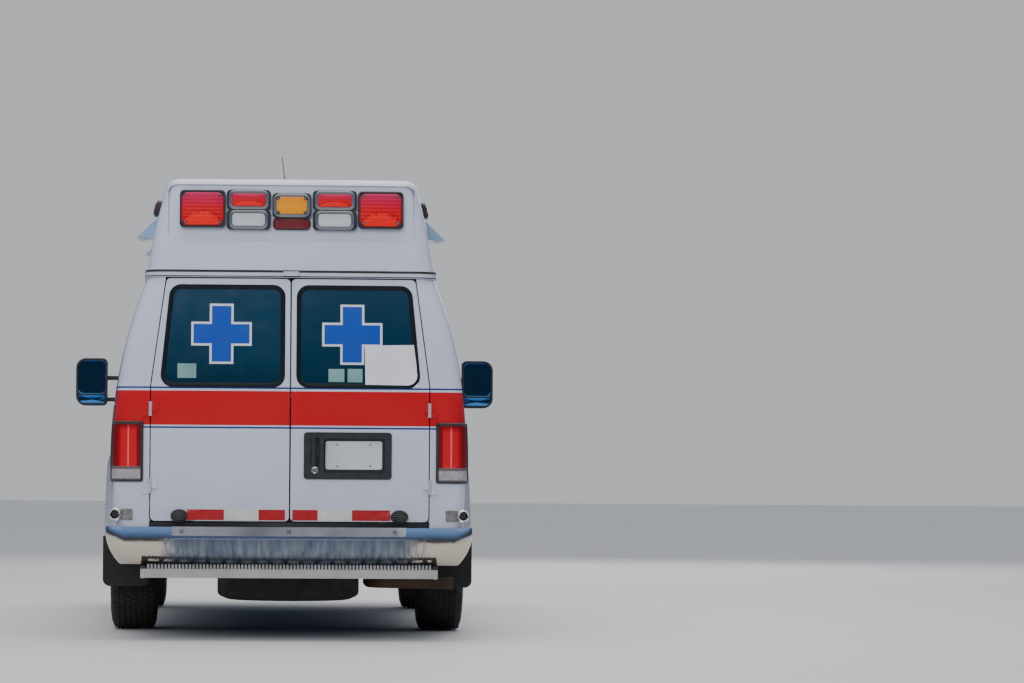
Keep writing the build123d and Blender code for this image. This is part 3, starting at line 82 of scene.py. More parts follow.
camera = linked("camera", bpy.data.cameras.new("camera"))
level = Vector((math.cos(CAMERA_YAW), -math.sin(CAMERA_YAW), 0))
ahead = Vector((math.sin(CAMERA_YAW), math.cos(CAMERA_YAW), 0))
forward = ahead * math.cos(CAMERA_PITCH) + Vector((0, 0, math.sin(CAMERA_PITCH)))
upright = level.cross(forward)
right = math.cos(CAMERA_ROLL) * level + math.sin(CAMERA_ROLL) * upright
up = right.cross(forward)
camera.matrix_world = Matrix.Translation(CAMERA_PLACE) @ Matrix((right, up, -forward)).transposed().to_4x4()
camera.data.lens = CAMERA_LENS
camera.data.clip_start, camera.data.clip_end = 0.5, 300.0
bpy.context.scene.camera = camera

for name, place, turn, size, power in (
    ("panel_above", (0, -1, 9), (0, 0, 0), 9.0, 620.0),
    ("panel_behind", (-3, -15, 6.5), (64, 0, -10), 7.0, 900.0),
    ("panel_front", (3, 13, 6), (-62, 0, -10), 6.0, 500.0),
):
    light = linked(name, bpy.data.lights.new(name, "AREA"))
    light.data.size, light.data.energy = size, power
    light.data.color = (1.0, 0.97, 0.93)
    light.location = place
    light.rotation_euler = [math.radians(a) for a in turn]
    light.visible_glossy = name != "panel_behind"

world = bpy.data.worlds.new("sky")
bpy.context.scene.world = world
world.use_nodes = True
sky = world.node_tree
direction = add(sky, "ShaderNodeTexCoord").outputs["Generated"]
height = add(sky, "ShaderNodeSeparateXYZ", {"Vector": direction}).outputs["Z"]
dome_colours = add(sky, "ShaderNodeValToRGB", {"Fac": ranged(sky, height, -0.3, 0.6)})
SKY_TONES = (
    (0.0, (0.20, 0.20, 0.21)),
    (0.31, (0.16, 0.15, 0.15)),
    (0.345, (0.06, 0.06, 0.065)),
    (0.45, (0.07, 0.08, 0.10)),
    (0.58, (0.16, 0.27, 0.52)),
    (0.72, (0.36, 0.52, 0.86)),
    (1.0, (0.62, 0.76, 1.0)),
)
for at, tone in SKY_TONES:
    stop = dome_colours.color_ramp.elements.new(at)
    stop.color = (*tone, 1)
for _ in range(2):
    ends = dome_colours.color_ramp.elements
    ends.remove(ends[0] if ends[0].color[0] == 0 else ends[-1])
BACKDROP = (0.62, 0.64, 0.67, 1)
seen = add(sky, "ShaderNodeLightPath").outputs["Is Camera Ray"]
tones = {0: seen, 6: dome_colours.outputs["Color"], 7: BACKDROP}
backdrop = add(sky, "ShaderNodeMix", tones, data_type="RGBA").outputs[2]
sky.links.new(backdrop, sky.nodes["Background"].inputs["Color"])
sky.nodes["Background"].inputs["Strength"].default_value = 0.85

floor_mesh = bpy.data.meshes.new("floor")
corners = [(x * FLOOR_HALF, y * FLOOR_HALF, 0) for x, y in ((-1, -1), (1, -1), (1, 1), (-1, 1))]
floor_mesh.from_pydata(corners, [], [(0, 1, 2, 3)])
floor = linked("floor", floor_mesh)
floor_finish = bpy.data.materials.new("pale_floor")
floor_finish.use_nodes = True
floor_tree = floor_finish.node_tree
mottle = add(floor_tree, "ShaderNodeTexNoise", {"Scale": 6.0, "Detail": 5.0}).outputs["Fac"]
floor_shader = floor_tree.nodes["Principled BSDF"]
floor_tree.links.new(ranged(floor_tree, mottle, 0.0, 1.0, 0.50, 0.56), floor_shader.inputs["Base Color"])
floor_shader.inputs["Roughness"].default_value = 0.75
floor_mesh.materials.append(floor_finish)

# Painted steel body
# Pressed steel panels in white enamel under clear lacquer, its white made bluer and darker by painted
# shade, with a red band round the body between two thin blue lines. Road dust lies on the lower panels,
# and the inside faces are plain.
RED_BAND = (1.149, 1.333)
BLUE_LINES = (1.1354, 1.3487)
LINE_WIDTH = 0.0095
# The enamel's white, with a painted blue shade cast in it.
SHADE_BLUED_WHITE = (0.54, 0.575, 0.70)
BAND_RED = (0.50, 0.003, 0.008)
LINE_BLUE = (0.007, 0.028, 0.19)
DUST = (0.36, 0.29, 0.21)
BAND_REACH = (1.10, 1.40)
CREASE_HEIGHT = 0.749


def shader_of(material):
    return material.node_tree.nodes["Principled BSDF"]


def new_material(name, **shader_inputs):
    """A material with its shader's own inputs set; spaces in their names are written as _."""
    material = bpy.data.materials.new(name)
    material.use_nodes = True
    for key, value in shader_inputs.items():
        shader_of(material).inputs[key.replace("_", " ")].default_value = value
    return material


def feed(material, **sockets):
    """Links sockets to the shader's inputs, whose names are written with _ for spaces."""
    for key, socket in sockets.items():
        material.node_tree.links.new(socket, shader_of(material).inputs[key.replace("_", " ")])


def calc(tree, operation, *values):
    """Arithmetic on numbers and sockets."""
    return add(tree, "ShaderNodeMath", dict(enumerate(values)), operation=operation).outputs[0]


def vectors(tree, operation, *values):
    """Arithmetic on vectors and the sockets that give them."""
    made = add(tree, "ShaderNodeVectorMath", dict(enumerate(values)), operation=operation)
    return made.outputs["Value" if operation in ("LENGTH", "DOT_PRODUCT") else "Vector"]


def where(tree):
    """The place on the object, then its x, y and z by themselves."""
    place = add(tree, "ShaderNodeTexCoord").outputs["Object"]
    return place, *add(tree, "ShaderNodeSeparateXYZ", {"Vector": place}).outputs


def grain(tree, place, scale, low, high, detail=4.0):
    """A noise over the surface, between two values."""
    noise = add(tree, "ShaderNodeTexNoise", {"Vector": place, "Scale": scale, "Detail": detail})
    return ranged(tree, noise.outputs["Fac"], 0.3, 0.7, low, high)


def mix(tree, factor, a, b):
    a, b = (c if isinstance(c, bpy.types.NodeSocket) else (*c, 1) for c in (a, b))
    return add(tree, "ShaderNodeMix", {0: factor, 6: a, 7: b}, data_type="RGBA").outputs[2]


def relief(material, height, strength, distance):
    """Gives a material a raised surface from a height."""
    bump = {"Height": height, "Strength": strength, "Distance": distance}
    feed(material, Normal=add(material.node_tree, "ShaderNodeBump", bump).outputs["Normal"])


def colour_steps(tree, value, start, end, steps):
    """Plain colours one after the other as a value rises. Steps: (where it starts, colour) pairs."""
    ramp = add(tree, "ShaderNodeValToRGB", {"Fac": ranged(tree, value, start, end)})
    ramp.color_ramp.interpolation = "CONSTANT"
    stops = ramp.color_ramp.elements
    stops[0].color = (*steps[0][1], 1)
    stops.remove(stops[1])
    for at, colour in steps[1:]:
        stops.new((at - start) / (end - start)).color = (*colour, 1)
    return ramp.outputs["Color"]


def outer_faces(tree, place):
    """1 on faces that look away from the middle of the vehicle and not up, 0 elsewhere."""
    facing = add(tree, "ShaderNodeTexCoord").outputs["Normal"]
    away = vectors(tree, "DOT_PRODUCT", vectors(tree, "MULTIPLY", place, (1, 1, 0)), facing)
    upwards = add(tree, "ShaderNodeSeparateXYZ", {"Vector": facing}).outputs["Z"]
    outer = calc(tree, "GREATER_THAN", away, 0.12)
    return calc(tree, "MULTIPLY", outer, calc(tree, "LESS_THAN", upwards, 0.55))


def body_paint(name, banded):
    material = new_material(name, Coat_Weight=0.7, Coat_Roughness=0.06)
    tree = material.node_tree
    place, _, _, height = where(tree)
    colour = mix(tree, grain(tree, place, 1.7, 0.0, 1.0), SHADE_BLUED_WHITE, [c * 0.95 for c in SHADE_BLUED_WHITE])
    if banded:
        low_line, high_line = ((z - LINE_WIDTH / 2, z + LINE_WIDTH / 2, LINE_BLUE) for z in BLUE_LINES)
        steps = [(BAND_REACH[0], SHADE_BLUED_WHITE)]
        for low, high, tone in (low_line, (*RED_BAND, BAND_RED), high_line):
            steps += [(low, tone), (high, SHADE_BLUED_WHITE)]
        bands = colour_steps(tree, height, *BAND_REACH, steps)
        above = calc(tree, "GREATER_THAN", height, BAND_REACH[0] + 0.01)
        zone = calc(tree, "MULTIPLY", above, calc(tree, "LESS_THAN", height, BAND_REACH[1] - 0.02))
        colour = mix(tree, calc(tree, "MULTIPLY", zone, outer_faces(tree, place)), colour, bands)
    low = ranged(tree, height, 0.95, 0.45, 0.0, 0.34)
    dusty = calc(tree, "MULTIPLY", low, grain(tree, place, 7.0, 0.15, 1.0, 8.0))
    gloss = grain(tree, place, 5.0, 0.24, 0.30, 1.0)
    feed(material, Base_Color=mix(tree, dusty, colour, DUST), Roughness=gloss)
    crease = calc(tree, "COMPARE", height, CREASE_HEIGHT, 0.0035)
    dents = grain(tree, place, 1.3, 0.0, 1.0, 0.5)
    relief(material, calc(tree, "MULTIPLY_ADD", crease, -1.2, dents), 0.22, 0.006)
    return material


def dress(material, *names):
    """Puts a material on CAD nodes."""
    for name in names:
        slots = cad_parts[name].data.materials
        slots.clear()
        slots.append(material)


banded_paint = body_paint("white_enamel_with_red_band", True)
plain_paint = body_paint("white_enamel", False)
dress(banded_paint, "side_left", "side_right", "front_panels", "side_door_front", "side_door_rear")
dress(banded_paint, "rear_door_left", "rear_door_right", "cab_door_left", "cab_door_right")
dress(plain_paint, "hood", "cab_front")

# Raised roof
# A one-piece moulding of white gelcoated fibreglass, its white made bluer and darker by painted shade,
# with a flange that is bolted to the body's roof rail. A rubber bead seals the flange, and a shallow recess
# in the tail holds the lamp bank.
# The gelcoat's white, with a painted blue shade cast in it.
SHADE_BLUED_GELCOAT = (0.56, 0.595, 0.71)


def finish(name, colour, worn, roughness, scale=30.0, bump=0.15, depth=0.001, **shader_inputs):
    """A finish whose tone and gloss vary over the surface, from clean to worn, with a fine grain."""
    material = new_material(name, **shader_inputs)
    tree = material.node_tree
    place = add(tree, "ShaderNodeTexCoord").outputs["Object"]
    tone = mix(tree, grain(tree, place, scale / 5, 0.0, 1.0, 7.0), colour, worn)
    feed(material, Base_Color=tone, Roughness=grain(tree, place, scale, *roughness))
    relief(material, grain(tree, place, scale * 4, 0.0, 1.0), bump, depth)
    return material


WORN_SHADE_BLUED_GELCOAT = [c * 0.93 for c in SHADE_BLUED_GELCOAT]
gelcoat = finish("white_gelcoat", SHADE_BLUED_GELCOAT, WORN_SHADE_BLUED_GELCOAT, (0.30, 0.42), 9.0, 0.10, 0.002, Coat_Weight=0.35)
black_rubber = finish("black_rubber", (0.012, 0.012, 0.013), (0.035, 0.034, 0.033), (0.55, 0.75), 60.0)
dress(gelcoat, "raised_roof")


def tone_of(material):
    """What feeds a material's colour so far."""
    return shader_of(material).inputs["Base Color"].links[0].from_socket


def skin_of(*names):
    """The surfaces of some CAD nodes, to lay trim on."""
    corners, faces = [], []
    for name in names:
        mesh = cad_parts[name].data
        start = len(corners)
        corners += [v.co.copy() for v in mesh.vertices]
        faces += [[start + i for i in p.vertices] for p in mesh.polygons]
    return BVHTree.FromPolygons(corners, faces)


LAY_REACH = 0.009
VIEWS = {"tail": (0, 1, 0), "nose": (0, -1, 0), "right": (-1, 0, 0), "left": (1, 0, 0)}


def layer(skin, side):
    """Gives place(u, v, height): a point of the flat view of a side, raised from the surface there."""
    towards = Vector(VIEWS[side])
    across = Vector((0, 1, 0)) if towards.x else Vector((1, 0, 0))
    lift = Vector((0, 0, 1))
    start = -4.0 * towards

    def place(u, v, height=0.0):
        base = start + across * u + lift * v
        depths = []
        for du, dv in ((0, 0), (1, 0), (-1, 0), (0, 1), (0, -1)):
            origin = base + (across * du + lift * dv) * LAY_REACH
            hit = skin.ray_cast(origin, towards)[0]
            if hit is not None:
                depths.append((hit - origin).length)
        return base + towards * (min(depths) - height)

    return place


def piece(name, verts, faces, material, body, slot, smooth=True, closed=True):
    """A mesh piece in place, with its faces turned outwards, riding on a body."""
    mesh = bpy.data.meshes.new(name)
    mesh.from_pydata([tuple(v) for v in verts], [], faces)
    if closed:
        work = bmesh.new()
        work.from_mesh(mesh)
        bmesh.ops.recalc_face_normals(work, faces=work.faces)
        work.to_mesh(mesh)
        work.free()
    return wear(name, mesh, material, body, slot, smooth)


def wear(name, mesh, material, body, slot, smooth=True):
    """A finished mesh as a piece of the object."""
    mesh.name = name
    mesh.materials.clear()
    mesh.materials.append(material)
    mesh.polygons.foreach_set("use_smooth", [smooth] * len(mesh.polygons))
    if smooth:
        mesh.set_sharp_from_angle(angle=math.radians(40))
    made = linked(name, mesh)
    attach(made, body)
    return made


def rounded(corners, radius, steps=6):
    """An anticlockwise outline with its corners rounded."""
    outline = []
    for i, corner in enumerate(corners):
        here, before, after = Vector(corner), Vector(corners[i - 1]), Vector(corners[(i + 1) % len(corners)])
        u, v = (before - here).normalized(), (after - here).normalized()
        half = u.angle(v) / 2
        centre = here + (u + v).normalized() * radius / math.sin(half)
        start, end = (here + w * radius / math.tan(half) - centre for w in (u, v))
        first = math.atan2(start.y, start.x)
        turn = (math.atan2(end.y, end.x) - first + math.pi) % math.tau - math.pi
        for k in range(steps + 1):
            a = first + turn * k / steps
            outline.append(centre + Vector((math.cos(a), math.sin(a))) * radius)
    return outline


def outwards_at(outline, i):
    along = outline[(i + 1) % len(outline)] - outline[i - 1]
    return Vector((along.y, -along.x)).normalized()


def between(rings, count, closed=False):
    """Faces between rings of points, one after the other; closed joins the last ring to the first."""
    faces = []
    for j in range(rings if closed else rings - 1):
        a, b = j * count, (j + 1) % rings * count
        faces += [(a + i, a + (i + 1) % count, b + (i + 1) % count, b + i) for i in range(count)]
    return faces


def strip_round(name, outline, place, section, *looks):
    """A closed strip round an outline. Section: its profile as (distance outwards, height) pairs."""
    verts = []
    for i, point in enumerate(outline):
        out = outwards_at(outline, i)
        verts += [place(*(point + out * away), height) for away, height in section]
    return piece(name, verts, between(len(outline), len(section), True), *looks)


def subdivided(outline, longest=0.06):
    """An outline with points added along its long edges, so that a strip follows a curved panel."""
    out = []
    for i, a in enumerate(outline):
        b = outline[(i + 1) % len(outline)]
        parts = max(1, math.ceil((b - a).length / longest))
        out += [a.lerp(b, k / parts) for k in range(parts)]
    return out


FLANGE_BOTTOM = 1.945
FLANGE_TOP = 1.9853
flange_skin = skin_of("raised_roof")


def around_roof(z, proud, count=400):
    """Points round the roof's outside at one height."""
    points = []
    for i in range(count):
        a = math.tau * i / count
        aim = Vector((0.80 * math.cos(a), -0.35 + 2.0 * math.sin(a), z))
        outer = Vector((3.2 * math.cos(a), -0.35 + 5.0 * math.sin(a), z))
        towards = (aim - outer).normalized()
        hit = flange_skin.ray_cast(outer, towards)[0]
        points.append(hit - towards * proud)
    return points


BEADS = (("low", FLANGE_BOTTOM + 0.006, 0.0025), ("high", FLANGE_TOP - 0.0068, 0.0062))
BEAD_SECTION = ((-1, -0.002), (-1, 0.0022), (1, 0.0022), (1, -0.002))
for name, z, half in BEADS:
    rows = [around_roof(z + side * half, proud) for side, proud in BEAD_SECTION]
    verts = [p for row in rows for p in row]
    faces = between(len(rows), len(rows[0]), True)
    piece("flange_bead_" + name, verts, faces, black_rubber, "root", "rubber")

# Warning lamps
# Acrylic lenses over reflectors, each in a black rubber gasket; the reflector shows as a painted highlight
# and the sky as a painted reflection in the top. The small ones at the tail and the amber one also have a
# dull metal bezel. The red lens under the amber lamp is unlit.
SIDES = (("right", 1), ("left", -1))
RED_LENS = (0.56, 0.003, 0.007)
AMBER_LENS = (0.78, 0.29, 0.001)
CLEAR_LENS = (0.50, 0.54, 0.56)
BRAKE_LENS = (0.16, 0.012, 0.020)
BIG_LAMP = {"centre": (0.480, 2.315), "case": (0.244, 0.202), "lens": (0.224, 0.178)}
BIG_LAMP["screws"] = (0.094, 0.072)
SMALL_RED = {"centre": (0.232, 2.365), "case": (0.236, 0.108), "lens": (0.182, 0.070)}
SMALL_CLEAR = {"centre": (0.232, 2.257), "case": (0.236, 0.106), "lens": (0.176, 0.068)}
AMBER = {"centre": (0.0, 2.336), "case": (0.208, 0.134), "lens": (0.164, 0.094), "screws": (0.073, 0.038)}
BRAKE = {"centre": (0.0, 2.236), "case": (0.200, 0.062), "lens": (0.192, 0.054)}
SIDE_LAMPS = {"centres": ((-2.330, 2.334), (0.820, 2.300)), "case": (0.230, 0.080), "lens": (0.206, 0.060)}
FRONT_RED = {"centre": (0.520, 2.270), "case": (0.230, 0.130), "lens": (0.206, 0.108)}
FRONT_CLEAR = {"centre": (0.190, 2.270), "case": (0.230, 0.110), "lens": (0.204, 0.088)}
SEAM_LAMP = {"centre": (0.0, 1.9665), "case": (0.086, 0.025)}


def ribs(tree, along, pitch):
    """A height that rises and falls evenly along one direction."""
    return calc(tree, "SINE", calc(tree, "MULTIPLY", along, math.tau / pitch))


def lens_finish(name, colour, top, reflector_highlight, flutes=9.0, across="Y", arched=1.0):
    """Moulded lens: even flutes, a painted sky reflection in its top, and the reflector as a painted
    highlight: a brighter arch below with a painted dark rim.
    """
    coat = {"Coat_Weight": 0.20, "Coat_Roughness": 0.05}
    material = new_material(name, Roughness=0.22, Specular_IOR_Level=0.25, **coat)
    tree = material.node_tree
    uv = add(tree, "ShaderNodeTexCoord").outputs["UV"]
    parts = add(tree, "ShaderNodeSeparateXYZ", {"Vector": uv}).outputs
    centred = {"Vector": uv, "Location": (-1.0, 0.18, 0), "Scale": (2.0, 1.9, 0)}
    arch_place = add(tree, "ShaderNodeMapping", centred).outputs["Vector"]
    ragged = calc(tree, "ADD", vectors(tree, "LENGTH", arch_place), grain(tree, uv, 9.0, -0.10, 0.10))
    # A painted dark ring at the edge of the arch, then the painted sky reflection at the top and the painted
    # reflector highlight in the arch.
    painted_rim_shade = calc(tree, "MULTIPLY", calc(tree, "COMPARE", ragged, 1.0, 0.05), 0.45 * arched)
    tone = mix(tree, ranged(tree, parts["Y"], 0.50, 0.95), colour, top)
    tone = mix(tree, ranged(tree, ragged, 1.02, 0.86, 0.0, arched), tone, reflector_highlight)
    feed(material, Base_Color=mix(tree, painted_rim_shade, tone, [c * 0.45 for c in colour]))
    relief(material, ribs(tree, parts[across], 1 / flutes), 0.35, 0.0012)
    return material


def dome(name, outline, place, levels, *looks):
    """A closed cap over an outline. Levels: (share of its size, height), from the edge inwards."""
    centre = sum(outline, Vector((0, 0))) / len(outline)
    low, high = (Vector(f(p[k] for p in outline) for k in (0, 1)) for f in (min, max))
    n = len(outline)
    flat = [centre + (p - centre) * share for share, _ in levels for p in outline] + [centre]
    heights = [height for _, height in levels for _ in outline] + [levels[-1][1]]
    verts = [place(*p, h) for p, h in zip(flat, heights)]
    faces = [tuple(range(n))] + between(len(levels), n)
    last = (len(levels) - 1) * n
    faces += [(last + i, last + (i + 1) % n, last + n) for i in range(n)]
    made = piece(name, verts, faces, *looks)
    uv = made.data.uv_layers.new(name="lens")
    reach = high - low
    spots = np.array([[(p.x - low.x) / reach.x, (p.y - low.y) / reach.y] for p in flat])
    uv.data.foreach_set("uv", spots[[loop.vertex_index for loop in made.data.loops]].ravel())
    return made


def oblong(centre, size, radius, steps=6):
    (x, z), (w, h) = centre, (size[0] / 2, size[1] / 2)
    corners = [(x - w, z - h), (x + w, z - h), (x + w, z + h), (x - w, z + h)]
    return rounded(corners, radius, steps)


gasket_rubber = finish("gasket_rubber", (0.018, 0.020, 0.026), (0.035, 0.037, 0.042), (0.38, 0.55), 70.0)
PLATE_CHROME = ((0.78, 0.79, 0.81), (0.62, 0.62, 0.63))
chrome = finish("chrome_plate", *PLATE_CHROME, (0.06, 0.16), 12.0, 0.08, 0.0008, Metallic=1.0)
BEZEL_TONES = ((0.26, 0.28, 0.31), (0.20, 0.21, 0.23))
bezel_chrome = finish("dull_bezel_chrome", *BEZEL_TONES, (0.24, 0.34), 8.0, 0.05, 0.0005, Metallic=0.8)
dress(gasket_rubber, "red_lamps", "clear_lamps", "amber_lamp")
red_lens = lens_finish("red_acrylic", RED_LENS, (0.44, 0.004, 0.070), (0.80, 0.010, 0.008))
clear_lens = lens_finish("clear_acrylic", CLEAR_LENS, (0.40, 0.43, 0.46), (0.66, 0.68, 0.70), 12.0, "X", 0.35)
amber_lens = lens_finish("amber_acrylic", AMBER_LENS, (0.66, 0.20, 0.001), (1.0, 0.46, 0.006), 17.0, "X", 0.0)
brake_lens = finish("unlit_brake_lens", BRAKE_LENS, (0.12, 0.012, 0.016), (0.30, 0.40), 90.0, 0.3, 0.0006)
lamp_skin = skin_of("raised_roof", "red_lamps", "clear_lamps", "amber_lamp")

LENS_LEVELS = ((1.0, -0.002), (1.0, 0.003), (0.975, 0.0062), (0.90, 0.0085), (0.5, 0.0115))
BEZEL_SECTION = (
    (0.0175, -0.001), (0.0175, 0.004), (0.014, 0.0065), (0.003, 0.002), (-0.001, 0.002), (-0.001, -0.001),
)


def gasket_section(width):
    outer_half = ((0.001, -0.006), (0.001, 0.002), (-0.002, 0.0045))
    return (*outer_half, (-width + 0.001, 0.0045), (-width, 0.0), (-width, -0.006))


def warning_lamp(name, side, centre, kind, lens, slot, bezel=False):
    place = layer(lamp_skin, side)
    case, size = kind["case"], kind["lens"]
    outline = oblong(centre, case, 0.022)
    width = 0.008 if bezel else (case[0] - size[0]) / 2 - 0.0005
    strip_round(name + "_gasket", outline, place, gasket_section(width), gasket_rubber, "root", "rubber")
    inner = oblong(centre, size, min(0.032, size[1] * 0.24))
    if bezel:
        strip_round(name + "_bezel", inner, place, BEZEL_SECTION, bezel_chrome, "root", "chrome")
    dome(name + "_lens", inner, place, LENS_LEVELS, lens, "root", slot)


TAIL_PAIRS = (
    ("big_red", BIG_LAMP, red_lens, "red_lens"),
    ("small_red", SMALL_RED, red_lens, "red_lens", True),
    ("small_clear", SMALL_CLEAR, clear_lens, "clear_lens", True),
)
NOSE_PAIRS = (
    ("front_red", FRONT_RED, red_lens, "red_lens"),
    ("front_clear", FRONT_CLEAR, clear_lens, "clear_lens"),
)


def one_of_each(pairs, end, side_name, s):
    """The lamps of one side out of a row of pairs."""
    for name, kind, *looks in pairs:
        centre = (s * kind["centre"][0], kind["centre"][1])
        warning_lamp(f"{name}_{side_name}", end, centre, kind, *looks)


for side_name, s in SIDES:
    one_of_each(TAIL_PAIRS, "tail", side_name, s)
    for i, centre in enumerate(SIDE_LAMPS["centres"]):
        warning_lamp(f"side_red_{side_name}_{i + 1}", side_name, centre, SIDE_LAMPS, red_lens, "red_lens")
    one_of_each(NOSE_PAIRS, "nose", side_name, s)
warning_lamp("amber", "tail", AMBER["centre"], AMBER, amber_lens, "amber_lens", True)
warning_lamp("brake", "tail", BRAKE["centre"], BRAKE, brake_lens, "red_lens")
seam_outline = oblong(SEAM_LAMP["centre"], SEAM_LAMP["case"], 0.005)
seam_levels = ((1.0, -0.001), (1.0, 0.0015), (0.96, 0.003), (0.5, 0.0035))
dome("seam_lamp_lens", seam_outline, layer(lamp_skin, "tail"), seam_levels, clear_lens, "root", "clear_lens")

# Screws of the lamps
# Pan-head steel screws at the corners of the large red lenses and the amber one, each on a black disc that
# paints the shade of its recess. One head is turned once and set at every hole.
SCREW_RADIUS = 0.0052
RECESS_RADIUS = 0.0095
TAILWARDS = (0, -1, 0)


def lathe(profile, steps, start, axis):
    """Corners and faces of a turned part. Profile: (radius, distance along the axis), closed by its ends."""
    along = Vector(axis).normalized()
    u = along.orthogonal().normalized()
    v = along.cross(u)
    verts, faces, rows = [], [], []
    for radius, at in profile:
        if radius == 0:
            rows.append([len(verts)] * steps)
            verts.append(Vector(start) + along * at)
            continue
        rows.append([len(verts) + i for i in range(steps)])
        for i in range(steps):
            a = math.tau * i / steps
            verts.append(Vector(start) + along * at + (u * math.cos(a) + v * math.sin(a)) * radius)
    for low, high in zip(rows, rows[1:]):
        for i in range(steps):
            k = (i + 1) % steps
            face = [low[i], low[k], high[k], high[i]]
            faces.append(tuple(dict.fromkeys(face)))
    if profile[0][0] and profile[-1] != profile[0]:
        faces.append(tuple(reversed(rows[0])))
    if profile[-1][0] and profile[-1] != profile[0]:
        faces.append(tuple(rows[-1]))
    return verts, faces


def mesh_of(verts, faces):
    mesh = bpy.data.meshes.new("part")
    mesh.from_pydata([tuple(v) for v in verts], [], faces)
    work = bmesh.new()
    work.from_mesh(mesh)
    bmesh.ops.remove_doubles(work, verts=work.verts, dist=1e-6)
    bmesh.ops.recalc_face_normals(work, faces=work.faces)
    work.to_mesh(mesh)
    work.free()
    return mesh


def turned(profile, steps, axis=TAILWARDS):
    """A turned part's mesh, to be set at many places."""
    return mesh_of(*lathe(profile, steps, (0, 0, 0), axis))


def new_group(name, **inputs):
    """A Geometry Nodes tree that takes and gives a geometry, with its named inputs."""
    tree = bpy.data.node_groups.new(name, "GeometryNodeTree")
    for key, kind in {"Geometry": "Geometry", **inputs}.items():
        tree.interface.new_socket(key, in_out="INPUT", socket_type="NodeSocket" + kind)
    tree.interface.new_socket("Geometry", in_out="OUTPUT", socket_type="NodeSocketGeometry")
    return tree, add(tree, "NodeGroupInput").outputs


def give_out(tree, geometry, material):
    """Ends a tree: its geometry leaves it in one material."""
    dressed = add(tree, "GeometryNodeSetMaterial", {"Geometry": geometry, "Material": material})
    add(tree, "NodeGroupOutput", {"Geometry": dressed.outputs["Geometry"]})
    return tree


def set_at_points_tree():
    """Geometry Nodes: the incoming part, set at points that are given as another object."""
    tree, given = new_group("part_at_points", Holes="Object", Size="Float", Finish="Material")
    holes = add(tree, "GeometryNodeObjectInfo", {"Object": given["Holes"]}).outputs["Geometry"]
    points = add(tree, "GeometryNodeMeshToPoints", {"Mesh": holes}).outputs["Points"]
    spread = {"Points": points, "Instance": given["Geometry"], "Scale": given["Size"]}
    copies = add(tree, "GeometryNodeInstanceOnPoints", spread).outputs["Instances"]
    real = add(tree, "GeometryNodeRealizeInstances", {"Geometry": copies}).outputs["Geometry"]
    return give_out(tree, real, given["Finish"])


def evaluated(carrier):
    return bpy.data.meshes.new_from_object(carrier.evaluated_get(bpy.context.evaluated_depsgraph_get()))


def run_tree(tree, mesh, **values):
    """The mesh that a tree makes of a part."""
    carrier = linked("carrier", mesh)
    modifier = carrier.modifiers.new("repeat", "NODES")
    modifier.node_group = tree
    for socket in tree.interface.items_tree:
        if socket.in_out == "INPUT" and socket.name in values:
            modifier[socket.identifier] = values[socket.name]
    made = evaluated(carrier)
    bpy.data.objects.remove(carrier)
    return made


at_points = set_at_points_tree()


def set_at(name, part, places, material, body, slot, size=1.0):
    """Copies of a part at places, as one piece."""
    spots = bpy.data.meshes.new("holes")
    spots.from_pydata([tuple(p) for p in places], [], [])
    holes = linked("holes", spots)
    made = run_tree(at_points, part, Holes=holes, Size=size, Finish=material)
    bpy.data.objects.remove(holes)
    return wear(name, made, material, body, slot)


screw_steel = finish("screw_steel", (0.34, 0.33, 0.32), (0.20, 0.17, 0.15), (0.25, 0.45), 200.0, Metallic=1.0)
tail_place = layer(lamp_skin, "tail")
lamp_holes = []
for kind, sides in ((BIG_LAMP, (1, -1)), (AMBER, (1,))):
    x, z = kind["centre"]
    across, rise_by = kind["screws"]
    for s in sides:
        for a, b in ((-1, -1), (1, -1), (1, 1), (-1, 1)):
            lamp_holes.append(tail_place(s * x + a * across, z + b * rise_by, 0.0085))
# A black disc under each screw: painted shade in the lens's recess.
recess_shade = turned(((0, -0.006), (RECESS_RADIUS, -0.006), (RECESS_RADIUS, 0.001), (0, 0.001)), 20)
crown = ((SCREW_RADIUS, 0.0018), (SCREW_RADIUS * 0.7, 0.0030), (0, 0.0034))
screw_head = turned(((0, -0.004), (SCREW_RADIUS, -0.004), *crown), 16)
set_at("lamp_screw_recesses", recess_shade, lamp_holes, gasket_rubber, "root", "rubber")
set_at("lamp_screws", screw_head, lamp_holes, screw_steel, "root", "steel")

# Floodlights on the roof sides
# Pressed bright metal hoods that tip a clear lens towards the ground beside the doors, two a side.
# Each hangs from the slope of the roof by its inner edge. Their blue is a painted sky reflection.
FLOOD_PLACES = ((-2.330, 2.229), (-0.300, 2.229))
FLOOD_SIZE = (0.270, 0.118)
FLOOD_INNER = 0.790
# Blue tones: painted sky reflection on the bright metal.
FLOOD_SKY_TONES = ((0.42, 0.64, 0.88), (0.36, 0.52, 0.72))
flood_sky_chrome = finish("floodlight_chrome_painted_sky", *FLOOD_SKY_TONES, (0.16, 0.28), 18.0, Metallic=0.45)
dress(flood_sky_chrome, "scene_lights")
flood_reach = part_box("scene_lights")[1].x - 0.008
FLOOD_LENS_LEVELS = ((1.0, -0.002), (1.0, 0.003), (0.94, 0.006), (0.5, 0.007))
for side_name, s in SIDES:
    for i, (y, z) in enumerate(FLOOD_PLACES):
        size = (flood_reach - FLOOD_INNER, FLOOD_SIZE[0] - 0.024)
        outline = oblong(((FLOOD_INNER + flood_reach) / 2, y), size, 0.008, 3)

        def under(u, v, height, side=s, bottom=z - FLOOD_SIZE[1] / 2):
            return Vector((side * u, v, bottom - height))

        name = f"floodlight_lens_{side_name}_{i + 1}"
        dome(name, outline, under, FLOOD_LENS_LEVELS, clear_lens, "root", "clear_lens")

# Antenna
# A dark steel whip in a round foot that is screwed through the raised roof above the cab doors. All
# of it comes from the CAD and is only coloured here.
whip_steel = finish("antenna_steel", (0.10, 0.10, 0.11), (0.20, 0.20, 0.20), (0.30, 0.45), 60.0, Metallic=0.6)
dress(whip_steel, "antenna")

